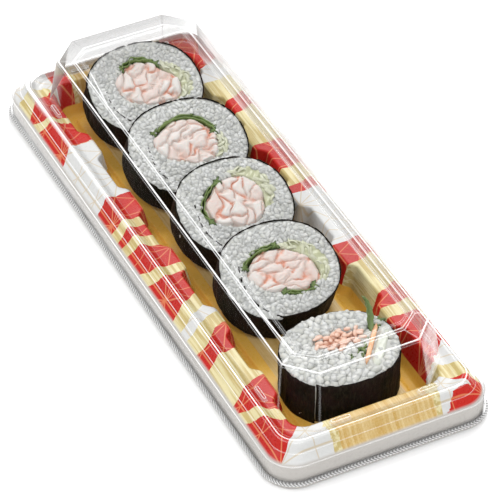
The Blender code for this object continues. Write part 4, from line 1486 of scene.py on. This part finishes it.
def make_studio():
    floor_mesh = bpy.data.meshes.new("studio_floor")
    wide = 3.0
    floor_mesh.from_pydata([(-wide, -wide, 0), (wide, -wide, 0), (wide, wide, 0), (-wide, wide, 0)], [], [(0, 1, 2, 3)])
    paint, tree = begin("floor_white")
    finish_paint(tree, principled(tree, (0.93, 0.93, 0.93), 0.9))
    floor_mesh.materials.append(paint)
    floor = bpy.data.objects.new("studio_floor", floor_mesh)
    bpy.context.scene.collection.objects.link(floor)

    world = bpy.data.worlds.new("studio")
    world.use_nodes = True
    world.node_tree.nodes["Background"].inputs["Color"].default_value = (1.0, 1.0, 1.0, 1.0)
    world.node_tree.nodes["Background"].inputs["Strength"].default_value = 0.74
    bpy.context.scene.world = world
    lamps = (
        # name, place, size, power
        ("left", (-0.8, 0.2, 0.75), 0.6, 3.5),
        ("front", (-0.15, -0.8, 0.85), 0.7, 4.5),
        ("back", (0.45, 0.55, 0.95), 0.6, 8.0),
    )
    for name, place, size, power in lamps:
        lamp = bpy.data.lights.new(name, "AREA")
        lamp.shape = "SQUARE"
        lamp.size = size
        lamp.energy = power
        thing = bpy.data.objects.new(name, lamp)
        thing.location = place
        thing.rotation_euler = (Vector((0, 0, 0.02)) - Vector(place)).to_track_quat("-Z", "Y").to_euler()
        bpy.context.scene.collection.objects.link(thing)


CAMERA_TARGET = Vector((-0.01197, -0.03543, 0.03408))
CAMERA_DISTANCE = 1.11487
CAMERA_AZIMUTH = math.radians(-26.457)
CAMERA_ELEVATION = math.radians(41.075)
CAMERA_LENS = 230.97


def make_camera():
    back = Vector(
        (
            math.sin(CAMERA_AZIMUTH) * math.cos(CAMERA_ELEVATION),
            -math.cos(CAMERA_AZIMUTH) * math.cos(CAMERA_ELEVATION),
            math.sin(CAMERA_ELEVATION),
        )
    )
    camera = bpy.data.cameras.new("camera")
    camera.lens = CAMERA_LENS
    camera.sensor_width = 36.0
    thing = bpy.data.objects.new("camera", camera)
    thing.location = CAMERA_TARGET + back * CAMERA_DISTANCE
    thing.rotation_euler = back.to_track_quat("Z", "Y").to_euler()
    bpy.context.scene.collection.objects.link(thing)
    bpy.context.scene.camera = thing


def main():
    paints = {
        "nori": nori_paint(),
        "rice": rice_paint(),
        "seafood": seafood_paint(),
        "crab": food_paint("crab_flakes", (0.62, 0.22, 0.11), (0.74, 0.40, 0.27), (0.78, 0.57, 0.47), 0.4, (0.76, 0.34, 0.19), 0.4, 0.0001),
        "leaf": food_paint("green_leaf", (0.020, 0.038, 0.008), (0.065, 0.11, 0.022), (0.17, 0.24, 0.07), 0.42, (0.30, 0.36, 0.15), 0.3, 0.0002, 0.05),
        "cabbage": food_paint("pale_cabbage", (0.38, 0.40, 0.20), (0.49, 0.50, 0.34), (0.58, 0.59, 0.46), 0.36, (0.54, 0.55, 0.36), 0.25, 0.0001, 0.3),
        "carrot": food_paint("carrot", (0.58, 0.17, 0.05), (0.72, 0.29, 0.11), (0.78, 0.42, 0.22), 0.38, (0.8, 0.5, 0.3), 0.4, 0.0001, 0.2),
        "cucumber": food_paint("cucumber", (0.40, 0.44, 0.30), (0.54, 0.57, 0.46), (0.62, 0.64, 0.56), 0.36, (0.6, 0.62, 0.5), 0.3, 0.0001, 0.2),
    }
    make_tray()
    make_lid()
    make_slices(paints)
    make_end_piece(paints)
    make_studio()
    make_camera()
    bpy.context.scene.view_settings.view_transform = "Standard"


main()
